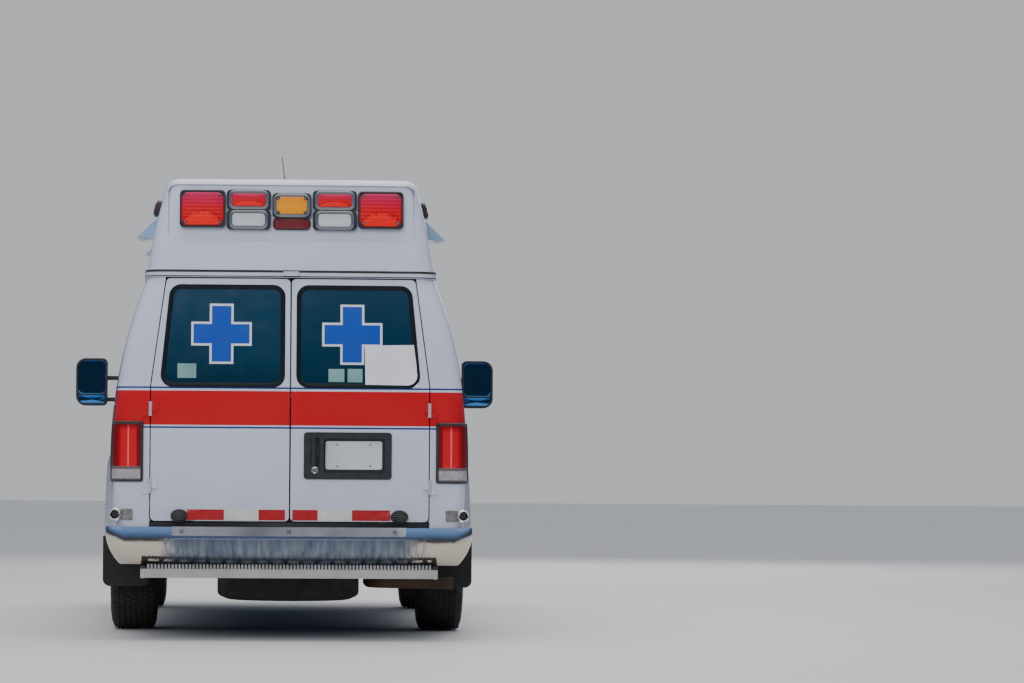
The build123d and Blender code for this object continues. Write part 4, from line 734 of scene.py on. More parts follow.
# Windows
# Tempered glass in black rubber: a deep blue-green tint in the patient compartment, pale green in the
# cab. The rear pair carry a plain blue cross, small blank labels and a blank notice.
REAR_WINDOW = [(0.040, 1.362), (0.692, 1.362), (0.640, 1.896), (0.040, 1.896)]
SIDE_WINDOWS = {"side_door_front": (0.085, 0.530), "side_door_rear": (-0.415, -0.091)}
SIDE_WINDOW_HEIGHTS = (1.360, 1.820)
CAB_WINDOW = [(0.801, 1.360), (1.536, 1.360), (1.135, 1.863), (0.801, 1.863)]
WINDSCREEN = [(-0.850, 1.342), (0.850, 1.342), (0.688, 1.900), (-0.688, 1.900)]
CORNER = 0.055
SEAL_SECTION = (
    (0.010, -0.002), (0.010, 0.0015), (0.005, 0.0045), (-0.002, 0.0040), (-0.015, 0.0018), (-0.015, -0.001),
)


def glass_finish(name, tint, through):
    glassy = {"Roughness": 0.04, "IOR": 1.50, "Coat_Weight": 0.4, "Coat_Roughness": 0.03}
    material = new_material(name, Transmission_Weight=through, **glassy)
    tree = material.node_tree
    place = add(tree, "ShaderNodeTexCoord").outputs["Object"]
    tone = mix(tree, grain(tree, place, 2.5, 0.0, 1.0), tint, [c * 0.8 for c in tint])
    feed(material, Base_Color=tone, Roughness=grain(tree, place, 14.0, 0.03, 0.09))
    return material


def mirrored(corners):
    """An outline on the other side, still anticlockwise."""
    return [(-u, v) for u, v in reversed(corners)]


dark_glass = glass_finish("tinted_glass", (0.002, 0.058, 0.112), 0.55)
cab_glass = glass_finish("pale_green_glass", (0.42, 0.56, 0.50), 0.95)
dress(dark_glass, "rear_glass_left", "rear_glass_right", "side_glass_front", "side_glass_rear")
dress(cab_glass, "cab_glass_left", "cab_glass_right", "windscreen")
SEAL_TONES = ((0.003, 0.006, 0.009), (0.008, 0.011, 0.014))
seal_rubber = finish("window_rubber", *SEAL_TONES, (0.40, 0.52), 80.0, Specular_IOR_Level=0.25)

tail_right = layer(skin_of("rear_door_right", "rear_glass_right"), "tail")
tail_left = layer(skin_of("rear_door_left", "rear_glass_left"), "tail")


def window_seal(name, corners, place, body, radius=CORNER):
    outline = subdivided(rounded(corners, radius))
    strip_round(name, outline, place, SEAL_SECTION, seal_rubber, body, "rubber")


window_seal("rear_window_seal_right", REAR_WINDOW, tail_right, "rear_door_right")
window_seal("rear_window_seal_left", mirrored(REAR_WINDOW), tail_left, "rear_door_left")
for door, (y0, y1) in SIDE_WINDOWS.items():
    z0, z1 = SIDE_WINDOW_HEIGHTS
    place = layer(skin_of(door, door.replace("door", "glass")), "right")
    window_seal(door + "_window_seal", [(y0, z0), (y1, z0), (y1, z1), (y0, z1)], place, door)
for side_name, _ in SIDES:
    place = layer(skin_of("cab_door_" + side_name, "cab_glass_" + side_name), side_name)
    window_seal("cab_window_seal_" + side_name, CAB_WINDOW, place, "cab_door_" + side_name)
screen_place = layer(skin_of("cab_front", "windscreen"), "nose")
window_seal("windscreen_seal", WINDSCREEN, screen_place, "root", 0.060)


def patch(name, corners, place, thickness, *looks, cells=(8, 8)):
    """A thin slab laid on a surface over four corners. Its thickness is a number or depends on the
    shares across and up."""
    a, b, c, d = (Vector(p) for p in corners)
    across, up_rows = cells
    n = across + 1
    top, under = [], []
    for j in range(up_rows + 1):
        for i in range(n):
            s, t = i / across, j / up_rows
            spot = a.lerp(b, s).lerp(d.lerp(c, s), t)
            top.append(place(*spot, thickness(s, t) if callable(thickness) else thickness))
            under.append(place(*spot, -0.0012))
    m = len(top)
    faces = []
    for j in range(up_rows):
        for i in range(across):
            k = j * n + i
            faces.append((k, k + 1, k + n + 1, k + n))
            faces.append(tuple(m + v for v in (k, k + n, k + n + 1, k + 1)))
    rim = list(range(n)) + [j * n + across for j in range(1, up_rows + 1)]
    rim += [up_rows * n + i for i in reversed(range(across))] + [j * n for j in reversed(range(1, up_rows))]
    faces += [(rim[k], rim[k - 1], rim[k - 1] + m, rim[k] + m) for k in range(len(rim))]
    return piece(name, top + under, faces, *looks)


def turned_box(centre, size, degrees):
    """Corners of a rectangle turned about its middle."""
    a = math.radians(degrees)
    u = Vector((math.cos(a), math.sin(a))) * size[0] / 2
    v = Vector((-math.sin(a), math.cos(a))) * size[1] / 2
    return [Vector(centre) + i * u + j * v for i, j in ((-1, -1), (1, -1), (1, 1), (-1, 1))]


paper = finish("blank_paper", (0.74, 0.75, 0.80), (0.62, 0.64, 0.72), (0.5, 0.7), 25.0, 0.25, 0.002)
label_film = finish("label_film", (0.22, 0.37, 0.36), (0.16, 0.29, 0.28), (0.35, 0.5), 60.0)
NOTICE = {"centre": (0.541, 1.472), "size": (0.282, 0.226), "degrees": 1.2}
patch("notice", turned_box(*NOTICE.values()), tail_right, 0.0025, paper, "rear_door_right", "grey_plastic")
LABELS = (
    ("right_1", (0.246, 1.420), (0.085, 0.070), tail_right),
    ("right_2", (0.346, 1.420), (0.080, 0.072), tail_right),
    ("left", (-0.556, 1.440), (0.100, 0.078), tail_left),
)
for name, centre, size, place in LABELS:
    looks = (label_film, "rear_door_" + name.split("_")[0], "grey_plastic")
    patch("label_" + name, turned_box(centre, size, 0), place, 0.0006, *looks, cells=(2, 2))

CROSSES = (("left", -0.372, tail_left), ("right", 0.330, tail_right))
CROSS_HEIGHT = 1.640
CROSS_REACH = 0.150
CROSS_ARM = 0.052
CROSS_BORDER = 0.012


def cross_outline(centre, reach, arm):
    u, v = centre
    steps = ((1, 0), (0, 1), (-1, 0), (0, -1))
    corners = []
    for i, (a, b) in enumerate(steps):
        c, d = steps[(i + 1) % 4]
        corners.append((u + a * reach - c * arm, v + b * reach - d * arm))
        corners.append((u + a * reach + c * arm, v + b * reach + d * arm))
        corners.append((u + (a + c) * arm, v + (b + d) * arm))
    return [Vector(p) for p in corners]


vinyl_white = finish("white_vinyl", (0.70, 0.72, 0.76), (0.60, 0.62, 0.66), (0.35, 0.5), 50.0)
vinyl_blue = finish("blue_vinyl", (0.004, 0.050, 0.40), (0.008, 0.065, 0.36), (0.30, 0.45), 50.0)
CROSS_FILMS = (("cross_border_", CROSS_BORDER, 0.0010, vinyl_white), ("cross_", 0.0, 0.0018, vinyl_blue))
for side_name, x, place in CROSSES:
    for name, wider, height, film in CROSS_FILMS:
        outline = cross_outline((x, CROSS_HEIGHT), CROSS_REACH + wider, CROSS_ARM + wider)
        levels = ((1.0, height - 0.0008), (1.0, height))
        looks = (film, "rear_door_" + side_name, "white_paint")
        dome(name + side_name, subdivided(outline, 0.05), place, levels, *looks)

# Rear door furniture
# Black moulded handle and plate housing on the right door with a blank aluminium plate and a key
# lock. Both doors have steel hinge sleeves, ribbed rubber buffers and red and white reflective tape.
PLATE = {"centre": (0.3425, 0.991), "size": (0.3048, 0.1524)}
LOCK = (0.133, 0.911)
TAPE_HEIGHTS = (0.640, 0.697)
TAPES = (
    (-0.549, -0.351, "red"), (-0.351, -0.166, "white"), (-0.166, -0.024, "red"),
    (0.015, 0.151, "red"), (0.151, 0.335, "white"), (0.335, 0.539, "red"),
)
BUFFER = {"x": 0.590, "z": 0.662, "half": (0.047, 0.0355), "face": -2.8235}
TAIL = -2.830
HINGE_HEIGHTS = (0.820, 1.235)
HINGE_X = 0.749
BARREL = 0.078

HOUSING_TONES = ((0.014, 0.016, 0.020), (0.030, 0.032, 0.036))
housing_plastic = finish("black_moulded_plastic", *HOUSING_TONES, (0.32, 0.46), 120.0, 0.3, 0.0006)
dress(housing_plastic, "plate_housing")
plate_metal = finish("blank_plate_enamel", (0.56, 0.60, 0.62), (0.46, 0.51, 0.53), (0.30, 0.42), 40.0)
housing_place = layer(skin_of("plate_housing"), "tail")
plate_outline = oblong(PLATE["centre"], PLATE["size"], 0.012)
PLATE_LEVELS = ((1.0, 0.001), (1.0, 0.0035), (0.985, 0.0045), (0.965, 0.0045), (0.955, 0.0032), (0.5, 0.0032))
dome("blank_plate", plate_outline, housing_place, PLATE_LEVELS, plate_metal, "rear_door_right", "white_paint")
plate_x, plate_z = PLATE["centre"]
bolt_spots = ((plate_x + a, plate_z + b) for a in (-0.089, 0.089) for b in (-0.058, 0.058))
plate_bolts = [housing_place(*spot, 0.005) for spot in bolt_spots]
set_at("plate_bolts", screw_head, plate_bolts, screw_steel, "rear_door_right", "steel", 0.9)

LOCK_PROFILE = (
    (0, -0.010), (0.017, -0.010), (0.017, 0.004), (0.0145, 0.0065), (0.0105, 0.0065), (0.0100, 0.003),
    (0, 0.003),
)
KEY_HOLE_PROFILE = ((0, -0.002), (0.0028, -0.002), (0.0028, 0.0008), (0, 0.0008))
lock_base = housing_place(*LOCK, 0.0)
lock = lathe(LOCK_PROFILE, 32, lock_base, TAILWARDS)
piece("door_lock", *lock, chrome, "rear_door_right", "chrome")
key_hole = lathe(KEY_HOLE_PROFILE, 12, lock_base + Vector((0, -0.0035, 0)), TAILWARDS)
piece("door_lock_key_hole", *key_hole, black_rubber, "rear_door_right", "rubber")

SLEEVE_PROFILE = (
    (0, -0.0072), (0.0090, -0.0072), (0.0094, -0.006), (0.0094, 0.006), (0.0090, 0.0072), (0, 0.0072),
)
SLEEVES = 5
SLEEVES_ON_BODY = 2
hinge_steel = finish("hinge_steel", (0.62, 0.64, 0.68), (0.50, 0.52, 0.55), (0.20, 0.32), 60.0, Metallic=0.5)
sleeve = turned(SLEEVE_PROFILE, 20, (0, 0, 1))
for side_name, s in SIDES:
    on_body, on_door = [], []
    for z in HINGE_HEIGHTS:
        for k in range(SLEEVES):
            spot = (s * HINGE_X, TAIL + 0.001, z - BARREL / 2 + (k + 0.5) * BARREL / SLEEVES)
            (on_body if k < SLEEVES_ON_BODY else on_door).append(spot)
    door = "rear_door_" + side_name
    set_at(f"rear_hinge_sleeves_{side_name}", sleeve, on_body, hinge_steel, "root", "chrome", 0.98)
    set_at(f"rear_door_hinge_sleeves_{side_name}", sleeve, on_door, hinge_steel, door, "chrome", 0.98)

TAPE_TONES = {
    "red": ((0.42, 0.004, 0.008), (0.34, 0.005, 0.008)),
    "white": ((0.62, 0.63, 0.60), (0.52, 0.53, 0.50)),
}
tapes = {}
for tone, tones in TAPE_TONES.items():
    look = (*tones, (0.25, 0.40), 160.0, 0.35, 0.0005)
    tapes[tone] = finish(f"{tone}_reflective_tape", *look, Coat_Weight=0.4)
for i, (x0, x1, tone) in enumerate(TAPES):
    side_name, place = ("right", tail_right) if x0 > 0 else ("left", tail_left)
    z0, z1 = TAPE_HEIGHTS
    looks = (tapes[tone], "rear_door_" + side_name, "white_paint")
    patch(f"tape_{i + 1}", [(x0, z0), (x1, z0), (x1, z1), (x0, z1)], place, 0.0009, *looks, cells=(4, 4))

buffer_rubber = finish("buffer_rubber", (0.020, 0.020, 0.021), (0.045, 0.044, 0.043), (0.5, 0.7), 90.0)
relief(buffer_rubber, ribs(buffer_rubber.node_tree, where(buffer_rubber.node_tree)[3], 0.011), 0.8, 0.003)
BUFFER_LEVELS = (
    (1.0, -0.004), (1.0, 0.017), (0.975, 0.0225), (0.93, 0.0245), (0.86, 0.0255), (0.80, 0.0245),
    (0.74, 0.0245), (0.70, 0.0285), (0.45, 0.0300), (0.20, 0.0305),
)


def behind(u, v, height):
    return Vector((u, BUFFER["face"] - height, v))


for side_name, s in SIDES:
    turns = (math.tau * k / 40 for k in range(40))
    middle_x, middle_z = s * BUFFER["x"], BUFFER["z"]
    half_x, half_z = BUFFER["half"]
    oval = [Vector((middle_x + half_x * math.cos(a), middle_z + half_z * math.sin(a))) for a in turns]
    looks = (buffer_rubber, "rear_door_" + side_name, "rubber")
    dome(f"door_buffer_{side_name}", oval, behind, BUFFER_LEVELS, *looks)

# Door holdbacks
# Spring clips at the body's rear corners that catch the open doors: a square steel plate with four
# screws, and beside it a round chromed cup with a rubber core that wraps the corner.
HOLDBACK_X, HOLDBACK_Z = 0.872, 0.668
CUP_X = 0.926
CUP_SEAT_X = 0.915
corner_place = layer(skin_of("side_left", "side_right"), "tail")
CLIP_TONES = ((0.40, 0.39, 0.38), (0.22, 0.20, 0.18))
holdback_steel = finish("holdback_steel", *CLIP_TONES, (0.20, 0.35), 40.0, Metallic=0.7)
HOLDBACK_LEVELS = ((1.0, -0.003), (1.0, 0.003), (0.95, 0.0045), (0.5, 0.0045))
CUP_PROFILE = (
    (0, -0.030), (0.026, -0.030), (0.028, 0.004), (0.033, 0.016), (0.034, 0.026),
    (0.030, 0.030), (0.024, 0.027), (0.020, 0.010), (0, 0.006),
)
CORE_PROFILE = ((0, 0.004), (0.0195, 0.004), (0.0195, 0.020), (0.015, 0.023), (0, 0.023))
for side_name, s in SIDES:
    outline = oblong((s * HOLDBACK_X, HOLDBACK_Z), (0.066, 0.062), 0.006)
    name = "holdback_plate_" + side_name
    dome(name, outline, corner_place, HOLDBACK_LEVELS, holdback_steel, "root", "chrome")
    corners = [(s * HOLDBACK_X + a, HOLDBACK_Z + b) for a in (-0.021, 0.021) for b in (-0.020, 0.020)]
    spots = [corner_place(*corner, 0.0045) for corner in corners]
    set_at(f"holdback_screws_{side_name}", screw_head, spots, screw_steel, "root", "steel")
    cup_base = Vector((s * CUP_X, corner_place(s * CUP_SEAT_X, HOLDBACK_Z, 0.0).y, HOLDBACK_Z))
    outwards = (s * 0.35, -1, 0)
    cup = lathe(CUP_PROFILE, 36, cup_base, outwards)
    piece(f"holdback_cup_{side_name}", *cup, chrome, "root", "chrome")
    core = lathe(CORE_PROFILE, 28, cup_base, outwards)
    piece(f"holdback_core_{side_name}", *core, black_rubber, "root", "rubber")

# Tail lamps
# Tall acrylic lamps that wrap the rear corners: red over clear, with upright flutes and a pale painted
# highlight streak on the inner half, in a dark moulded surround.
CLEAR_BELOW = 0.926
LAMP_EDGES = (0.788, 0.845, 1.166)
LAMP_SIDE_END = TAIL + 0.1297
tail_lamp = new_material("tail_lamp_acrylic", Coat_Weight=1.0, Coat_Roughness=0.04, Roughness=0.18)
tree = tail_lamp.node_tree
place, x, _, height = where(tree)
aside = calc(tree, "ABSOLUTE", x)
field = calc(tree, "MULTIPLY", ranged(tree, aside, 0.925, 0.900), ranged(tree, aside, 0.816, 0.826))
bright = calc(tree, "MULTIPLY", field, ranged(tree, height, 1.152, 1.120))
# A thin pale upright stripe in the inner field: a painted highlight.
painted_highlight_streak = calc(tree, "MULTIPLY", calc(tree, "COMPARE", aside, 0.866, 0.0035), bright)
red_part = mix(tree, bright, (0.17, 0.001, 0.004), (0.60, 0.004, 0.014))
red_part = mix(tree, painted_highlight_streak, red_part, (0.90, 0.16, 0.15))
off_middle = calc(tree, "ABSOLUTE", calc(tree, "ADD", height, -0.8855))
border = calc(tree, "GREATER_THAN", off_middle, 0.025)
clear_part = mix(tree, grain(tree, place, 60.0, 0.0, 1.0), (0.40, 0.40, 0.42), (0.28, 0.26, 0.27))
clear_part = mix(tree, border, clear_part, (0.13, 0.11, 0.12))
feed(tail_lamp, Base_Color=mix(tree, calc(tree, "LESS_THAN", height, CLEAR_BELOW), red_part, clear_part))
relief(tail_lamp, ribs(tree, aside, 0.0085), 0.4, 0.0015)
dress(tail_lamp, "tail_lamps")
surround = finish("lamp_surround", (0.018, 0.015, 0.019), (0.040, 0.038, 0.044), (0.35, 0.5), 90.0)


def strip_along(name, spots, section, *looks):
    """A closed strip along a closed path on a surface. Spots: (point, surface normal) pairs."""
    verts = []
    for i, (point, normal) in enumerate(spots):
        along = (spots[(i + 1) % len(spots)][0] - spots[i - 1][0]).normalized()
        out = along.cross(normal).normalized()
        verts += [point + out * away + normal * height for away, height in section]
    return piece(name, verts, between(len(spots), len(section), True), *looks)


lamp_surface = skin_of("tail_lamps")
x_in, z_low, z_high = LAMP_EDGES
LAMP_WIDTH = 0.089
TAIL_SHARE = 0.45


def on_corner(s, share, z):
    """A point of a lamp's face: share 0 is its inner edge at the tail, 1 its end on the side."""
    if share < TAIL_SHARE:
        start = Vector((s * (x_in + 0.004 + share / TAIL_SHARE * 0.085), -4, z))
        towards = Vector((0, 1, 0))
    else:
        a = (share - TAIL_SHARE) / (1 - TAIL_SHARE) * math.pi / 2
        towards = Vector((-s * math.sin(a), math.cos(a), 0))
        start = Vector((s * (x_in + LAMP_WIDTH), LAMP_SIDE_END - 0.004, z)) - towards
    return lamp_surface.ray_cast(start, towards)[:2]


SURROUND_SECTION = (
    (-0.007, -0.004), (-0.007, 0.002), (-0.004, 0.005), (0.004, 0.005), (0.008, 0.001), (0.008, -0.004),
)
low, high = z_low + 0.005, z_high - 0.005
shares = [k / 24 for k in range(25)]
rises = [(high - low) * k / 12 for k in range(1, 12)]
lamp_path = [(t, low) for t in shares] + [(1.0, low + rise) for rise in rises]
lamp_path += [(t, high) for t in reversed(shares)] + [(0.0, high - rise) for rise in rises]
for side_name, s in SIDES:
    path = [on_corner(s, t, z) for t, z in lamp_path]
    strip_along(f"tail_lamp_surround_{side_name}", path, SURROUND_SECTION, surround, "root", "black_plastic")

# Rear bumper
# Pressed steel, chromed. Its upper band is tinted blue and its lower face streaked blue-grey as painted sky
# reflection; along the middle of the lower face it is rougher from scuffs and painted beige as reflected
# ground.
# A grooved aluminium tread covers its top band between the ends, held by three button-head bolts. The front
# bumper is of the same chrome.
PAD_CORNERS = [(-0.625, 0.560), (0.620, 0.560), (0.620, 0.607), (-0.625, 0.607)]
PAD_GROOVES = 6
PAD_BOLTS = (-0.574, -0.003, 0.561)
CHROME_TONES = ((0.66, 0.67, 0.69), (0.56, 0.56, 0.57))
bumper_chrome = finish("bumper_chrome", *CHROME_TONES, (0.06, 0.14), 9.0, 0.05, 0.001, Metallic=1.0)
dress(bumper_chrome, "front_bumper")
painted_reflection_chrome = new_material("bumper_chrome_painted_reflections", Metallic=1.0)
tree = painted_reflection_chrome.node_tree
place, x, _, height = where(tree)
# Painted reflections: bluish sky on the upper band, blue-grey sky streaks below, and beige ground in the
# middle of the lower face, which is also rougher there.
drawn_out = vectors(tree, "MULTIPLY", place, (1.0, 1.0, 0.12))
reach = calc(tree, "ADD", calc(tree, "ABSOLUTE", x), grain(tree, drawn_out, 60.0, -0.06, 0.06))
low_share = ranged(tree, height, 0.548, 0.538)
scuff_and_ground_reflection = calc(tree, "MULTIPLY", ranged(tree, reach, 0.72, 0.60), low_share)
painted_sky_streaks = mix(tree, grain(tree, drawn_out, 42.0, 0.0, 1.0), (0.12, 0.155, 0.21), (0.30, 0.335, 0.39))
low_face_reflections = mix(tree, scuff_and_ground_reflection, (0.64, 0.58, 0.49), painted_sky_streaks)
chrome_with_painted_reflections = mix(tree, low_share, (0.66, 0.70, 0.76), low_face_reflections)
feed(painted_reflection_chrome, Base_Color=chrome_with_painted_reflections, Roughness=ranged(tree, scuff_and_ground_reflection, 0.0, 1.0, 0.12, 0.46))
relief(painted_reflection_chrome, grain(tree, drawn_out, 90.0, 0.0, 1.0), 0.10, 0.0006)
dress(painted_reflection_chrome, "rear_bumper")
TREAD_TONES = ((0.62, 0.62, 0.62), (0.36, 0.35, 0.34))
tread_metal = finish("tread_aluminium", *TREAD_TONES, (0.30, 0.50), 22.0, 0.3, 0.001, Metallic=0.9)
bumper_place = layer(skin_of("rear_bumper"), "tail")


def grooved(s, t):
    """Height of the tread over the bumper: level grooves, and ends that fall to the chrome."""
    ends = min(1.0, min(s, 1 - s) / 0.012)
    land = 0.0018 if math.sin(t * PAD_GROOVES * math.tau) > -0.2 else 0.0
    return 0.0015 + ends * (0.0035 + land)


patch("bumper_tread", PAD_CORNERS, bumper_place, grooved, tread_metal, "root", "tread_plate", cells=(50, 48))
BUTTON_PROFILE = (
    (0, -0.003), (0.0125, -0.003), (0.0125, 0.001), (0.0095, 0.0018), (0.0088, 0.0045), (0.006, 0.0062),
    (0, 0.0066),
)
bolt_places = [bumper_place(x, 0.580, 0.0058) for x in PAD_BOLTS]
set_at("bumper_bolts", turned(BUTTON_PROFILE, 24), bolt_places, screw_steel, "root", "steel")

# Rear step
# Folded aluminium grip plank under the bumper with drain slots, a row of upright teeth along both
# edges, and end caps of the same metal. Its top is painted dark as the shade under the bumper.
STEP = {"half": 0.787, "y": (-3.006, -2.746), "z": (0.335, 0.392)}
TOOTH = {"pitch": 0.0185, "width": 0.0112, "rise": 0.030, "thick": 0.0028}
STEP_TONES = ((0.56, 0.55, 0.53), (0.40, 0.39, 0.37))
step_metal = finish("step_aluminium", *STEP_TONES, (0.35, 0.55), 22.0, 0.3, 0.001, Metallic=0.5)
tree = step_metal.node_tree
facing = add(tree, "ShaderNodeTexCoord").outputs["Normal"]
# The top faces and the top edge strip are painted near-black: shade under the bumper.
upwards = calc(tree, "GREATER_THAN", add(tree, "ShaderNodeSeparateXYZ", {"Vector": facing}).outputs["Z"], 0.7)
near_top = calc(tree, "GREATER_THAN", where(tree)[3], STEP["z"][1] - 0.010)
painted_shade_under_bumper = calc(tree, "MAXIMUM", upwards, near_top)
feed(step_metal, Base_Color=mix(tree, painted_shade_under_bumper, tone_of(step_metal), (0.045, 0.045, 0.048)))
dress(step_metal, "rear_step")


def box_mesh(x, y, z):
    """A closed box between pairs of coordinates."""
    verts = [(a, b, c) for a in x for b in y for c in z]
    faces = [(0, 1, 3, 2), (4, 6, 7, 5), (0, 4, 5, 1), (2, 3, 7, 6), (0, 2, 6, 4), (1, 5, 7, 3)]
    return verts, faces


def softened(verts, faces, width, segments=2):
    """A mesh with its edges rounded off."""
    mesh = mesh_of(verts, faces)
    work = bmesh.new()
    work.from_mesh(mesh)
    bmesh.ops.bevel(work, geom=work.edges[:], offset=width, segments=segments, profile=0.5, affect="EDGES")
    work.to_mesh(mesh)
    work.free()
    return mesh


w, r = TOOTH["width"] / 2, TOOTH["rise"]
corners = [(-w, 0), (w, 0), (w, r * 0.7), (w * 0.5, r), (0, r * 0.72), (-w * 0.5, r), (-w, r * 0.7)]
n = len(corners)
verts = [(x, y, z) for y in (0, TOOTH["thick"]) for x, z in corners]
tooth = mesh_of(verts, [tuple(range(n)), tuple(reversed(range(n, 2 * n)))] + between(2, n))
count = int((2 * STEP["half"] - 0.05) / TOOTH["pitch"])
for name, y in (("step_teeth_rear", STEP["y"][0] - 0.0020), ("step_teeth_front", STEP["y"][1] - 0.004)):
    places = [((k - (count - 1) / 2) * TOOTH["pitch"], y, STEP["z"][1] - 0.011) for k in range(count)]
    set_at(name, tooth, places, tread_metal, "root", "tread_plate")
for side_name, s in SIDES:
    x = sorted((s * (STEP["half"] - 0.022), s * (STEP["half"] + 0.004)))
    y = (STEP["y"][0] - 0.004, STEP["y"][1] + 0.004)
    cap = box_mesh(x, y, (STEP["z"][0] - 0.003, STEP["z"][1] + 0.006))
    wear(f"step_cap_{side_name}", softened(*cap, 0.006), step_metal, "root", "tread_plate")

# Underbody
# Painted steel frame and axles under road dust, a cast engine, a rusty exhaust, the steel tank and the
# spare wheel. The mud flaps and the sill below the rear doors are black rubber, and the floor has a
# vinyl covering above and undercoat below.
CHASSIS_TONES = ((0.018, 0.018, 0.018), (0.075, 0.068, 0.060))
chassis_paint = finish("chassis_paint", *CHASSIS_TONES, (0.55, 0.85), 6.0, 0.4, 0.002)
dress(chassis_paint, "chassis_frame", "cross_members", "front_axle", "rear_axle")
dress(chassis_paint, "knuckle_left", "knuckle_right")
CAST_TONES = ((0.16, 0.155, 0.15), (0.07, 0.065, 0.06))
cast_metal = finish("cast_metal", *CAST_TONES, (0.5, 0.75), 14.0, 0.5, 0.003, Metallic=0.5)
dress(cast_metal, "engine_block")
RUST_TONES = ((0.20, 0.105, 0.060), (0.095, 0.060, 0.045))
rusty = finish("rusty_steel", *RUST_TONES, (0.6, 0.9), 11.0, 0.5, 0.002, Metallic=0.3)
dress(rusty, "exhaust")
tank_coat = finish("tank_coating", (0.035, 0.035, 0.036), (0.11, 0.10, 0.09), (0.5, 0.8), 5.0, 0.3, 0.002)
dress(tank_coat, "fuel_tank")
FLAP_TONES = ((0.011, 0.011, 0.011), (0.035, 0.033, 0.031))
flap_rubber = finish("flap_rubber", *FLAP_TONES, (0.6, 0.8), 12.0, 0.4, 0.002)
dress(flap_rubber, "mud_flaps", "rear_sill")

SPARE_AXIS_Y = -2.29
SPARE_RIM = 0.206
TYRE_LOOK = ((0.017, 0.017, 0.018), (0.036, 0.034, 0.032), (0.65, 0.9), 18.0, 0.3, 0.0015)
spare_coat = finish("spare_wheel_coat", *TYRE_LOOK)
tree = spare_coat.node_tree
_, x, y, _ = where(tree)
from_axis = {"X": x, "Y": calc(tree, "SUBTRACT", y, SPARE_AXIS_Y)}
radius = vectors(tree, "LENGTH", add(tree, "ShaderNodeCombineXYZ", from_axis).outputs[0])
in_rim = calc(tree, "LESS_THAN", radius, SPARE_RIM)
feed(spare_coat, Base_Color=mix(tree, in_rim, tone_of(spare_coat), (0.10, 0.095, 0.09)))
dress(spare_coat, "spare_wheel")

FLOOR_TOP = 0.657
floor_coat = new_material("floor_covering_over_undercoat")
tree = floor_coat.node_tree
place, _, _, height = where(tree)
vinyl_floor = mix(tree, grain(tree, place, 220.0, 0.0, 1.0), (0.16, 0.18, 0.20), (0.24, 0.26, 0.28))
undercoat = mix(tree, grain(tree, place, 9.0, 0.0, 1.0), (0.02, 0.02, 0.02), (0.07, 0.065, 0.06))
floor_tone = mix(tree, calc(tree, "GREATER_THAN", height, FLOOR_TOP), undercoat, vinyl_floor)
feed(floor_coat, Base_Color=floor_tone, Roughness=grain(tree, place, 20.0, 0.45, 0.7))
dress(floor_coat, "floor_pan")

# Door mirrors
# Black grained shells on the cab doors, each with a flat glass over a small convex one and a bar
# between them. The glasses' blue is a painted sky reflection.
MIRROR_FACE = 1.478
MIRROR_SPLIT = 1.360
MIRROR_HEIGHTS = (1.304, 1.576)
MIRROR_RINGS = (0.960, 0.930, 0.780, 0.560, 0.300)
MIRROR_GLASSES = (
    ("flat", MIRROR_SPLIT + 0.004, MIRROR_HEIGHTS[1], 0.030, 0.0),
    ("convex", MIRROR_HEIGHTS[0], MIRROR_SPLIT - 0.004, 0.020, 0.004),
)
# Blue tones of the mirror glass: painted sky reflection.
MIRROR_SKY_TONES = ((0.09, 0.31, 0.66), (0.07, 0.27, 0.60))
SHELL_TONES = ((0.016, 0.017, 0.019), (0.034, 0.034, 0.036))
mirror_painted_sky = finish("mirror_painted_sky", *MIRROR_SKY_TONES, (0.02, 0.05), 20.0, 0.0, 0.001, Metallic=1.0)
shell_plastic = finish("mirror_shell_plastic", *SHELL_TONES, (0.38, 0.55), 300.0, 0.4, 0.0004)
dress(shell_plastic, "mirror_left", "mirror_right")


def on_mirror(u, v, height):
    return Vector((u, MIRROR_FACE - height, v))


for side_name, s in SIDES:
    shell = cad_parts["mirror_" + side_name].data
    middle_x = s * (max(s * v.co.x for v in shell.vertices) - 0.100)
    door = "cab_door_" + side_name
    for part_name, z0, z1, corner, bulge in MIRROR_GLASSES:
        outline = oblong((middle_x, (z0 + z1) / 2), (0.172, z1 - z0), corner)
        levels = [(1.0, -0.0008), (1.0, 0.0016), (0.985, 0.0024)]
        levels += [(share, 0.0025 + bulge * (1.0 - share * share)) for share in MIRROR_RINGS]
        dome(f"mirror_{part_name}_{side_name}", outline, on_mirror, levels, mirror_painted_sky, door, "glass")
    x, y = (middle_x - 0.088, middle_x + 0.088), (MIRROR_FACE - 0.005, MIRROR_FACE + 0.0005)
    bar = box_mesh(x, y, (MIRROR_SPLIT - 0.004, MIRROR_SPLIT + 0.004))
    wear(f"mirror_bar_{side_name}", softened(*bar, 0.0012), shell_plastic, door, "black_plastic")

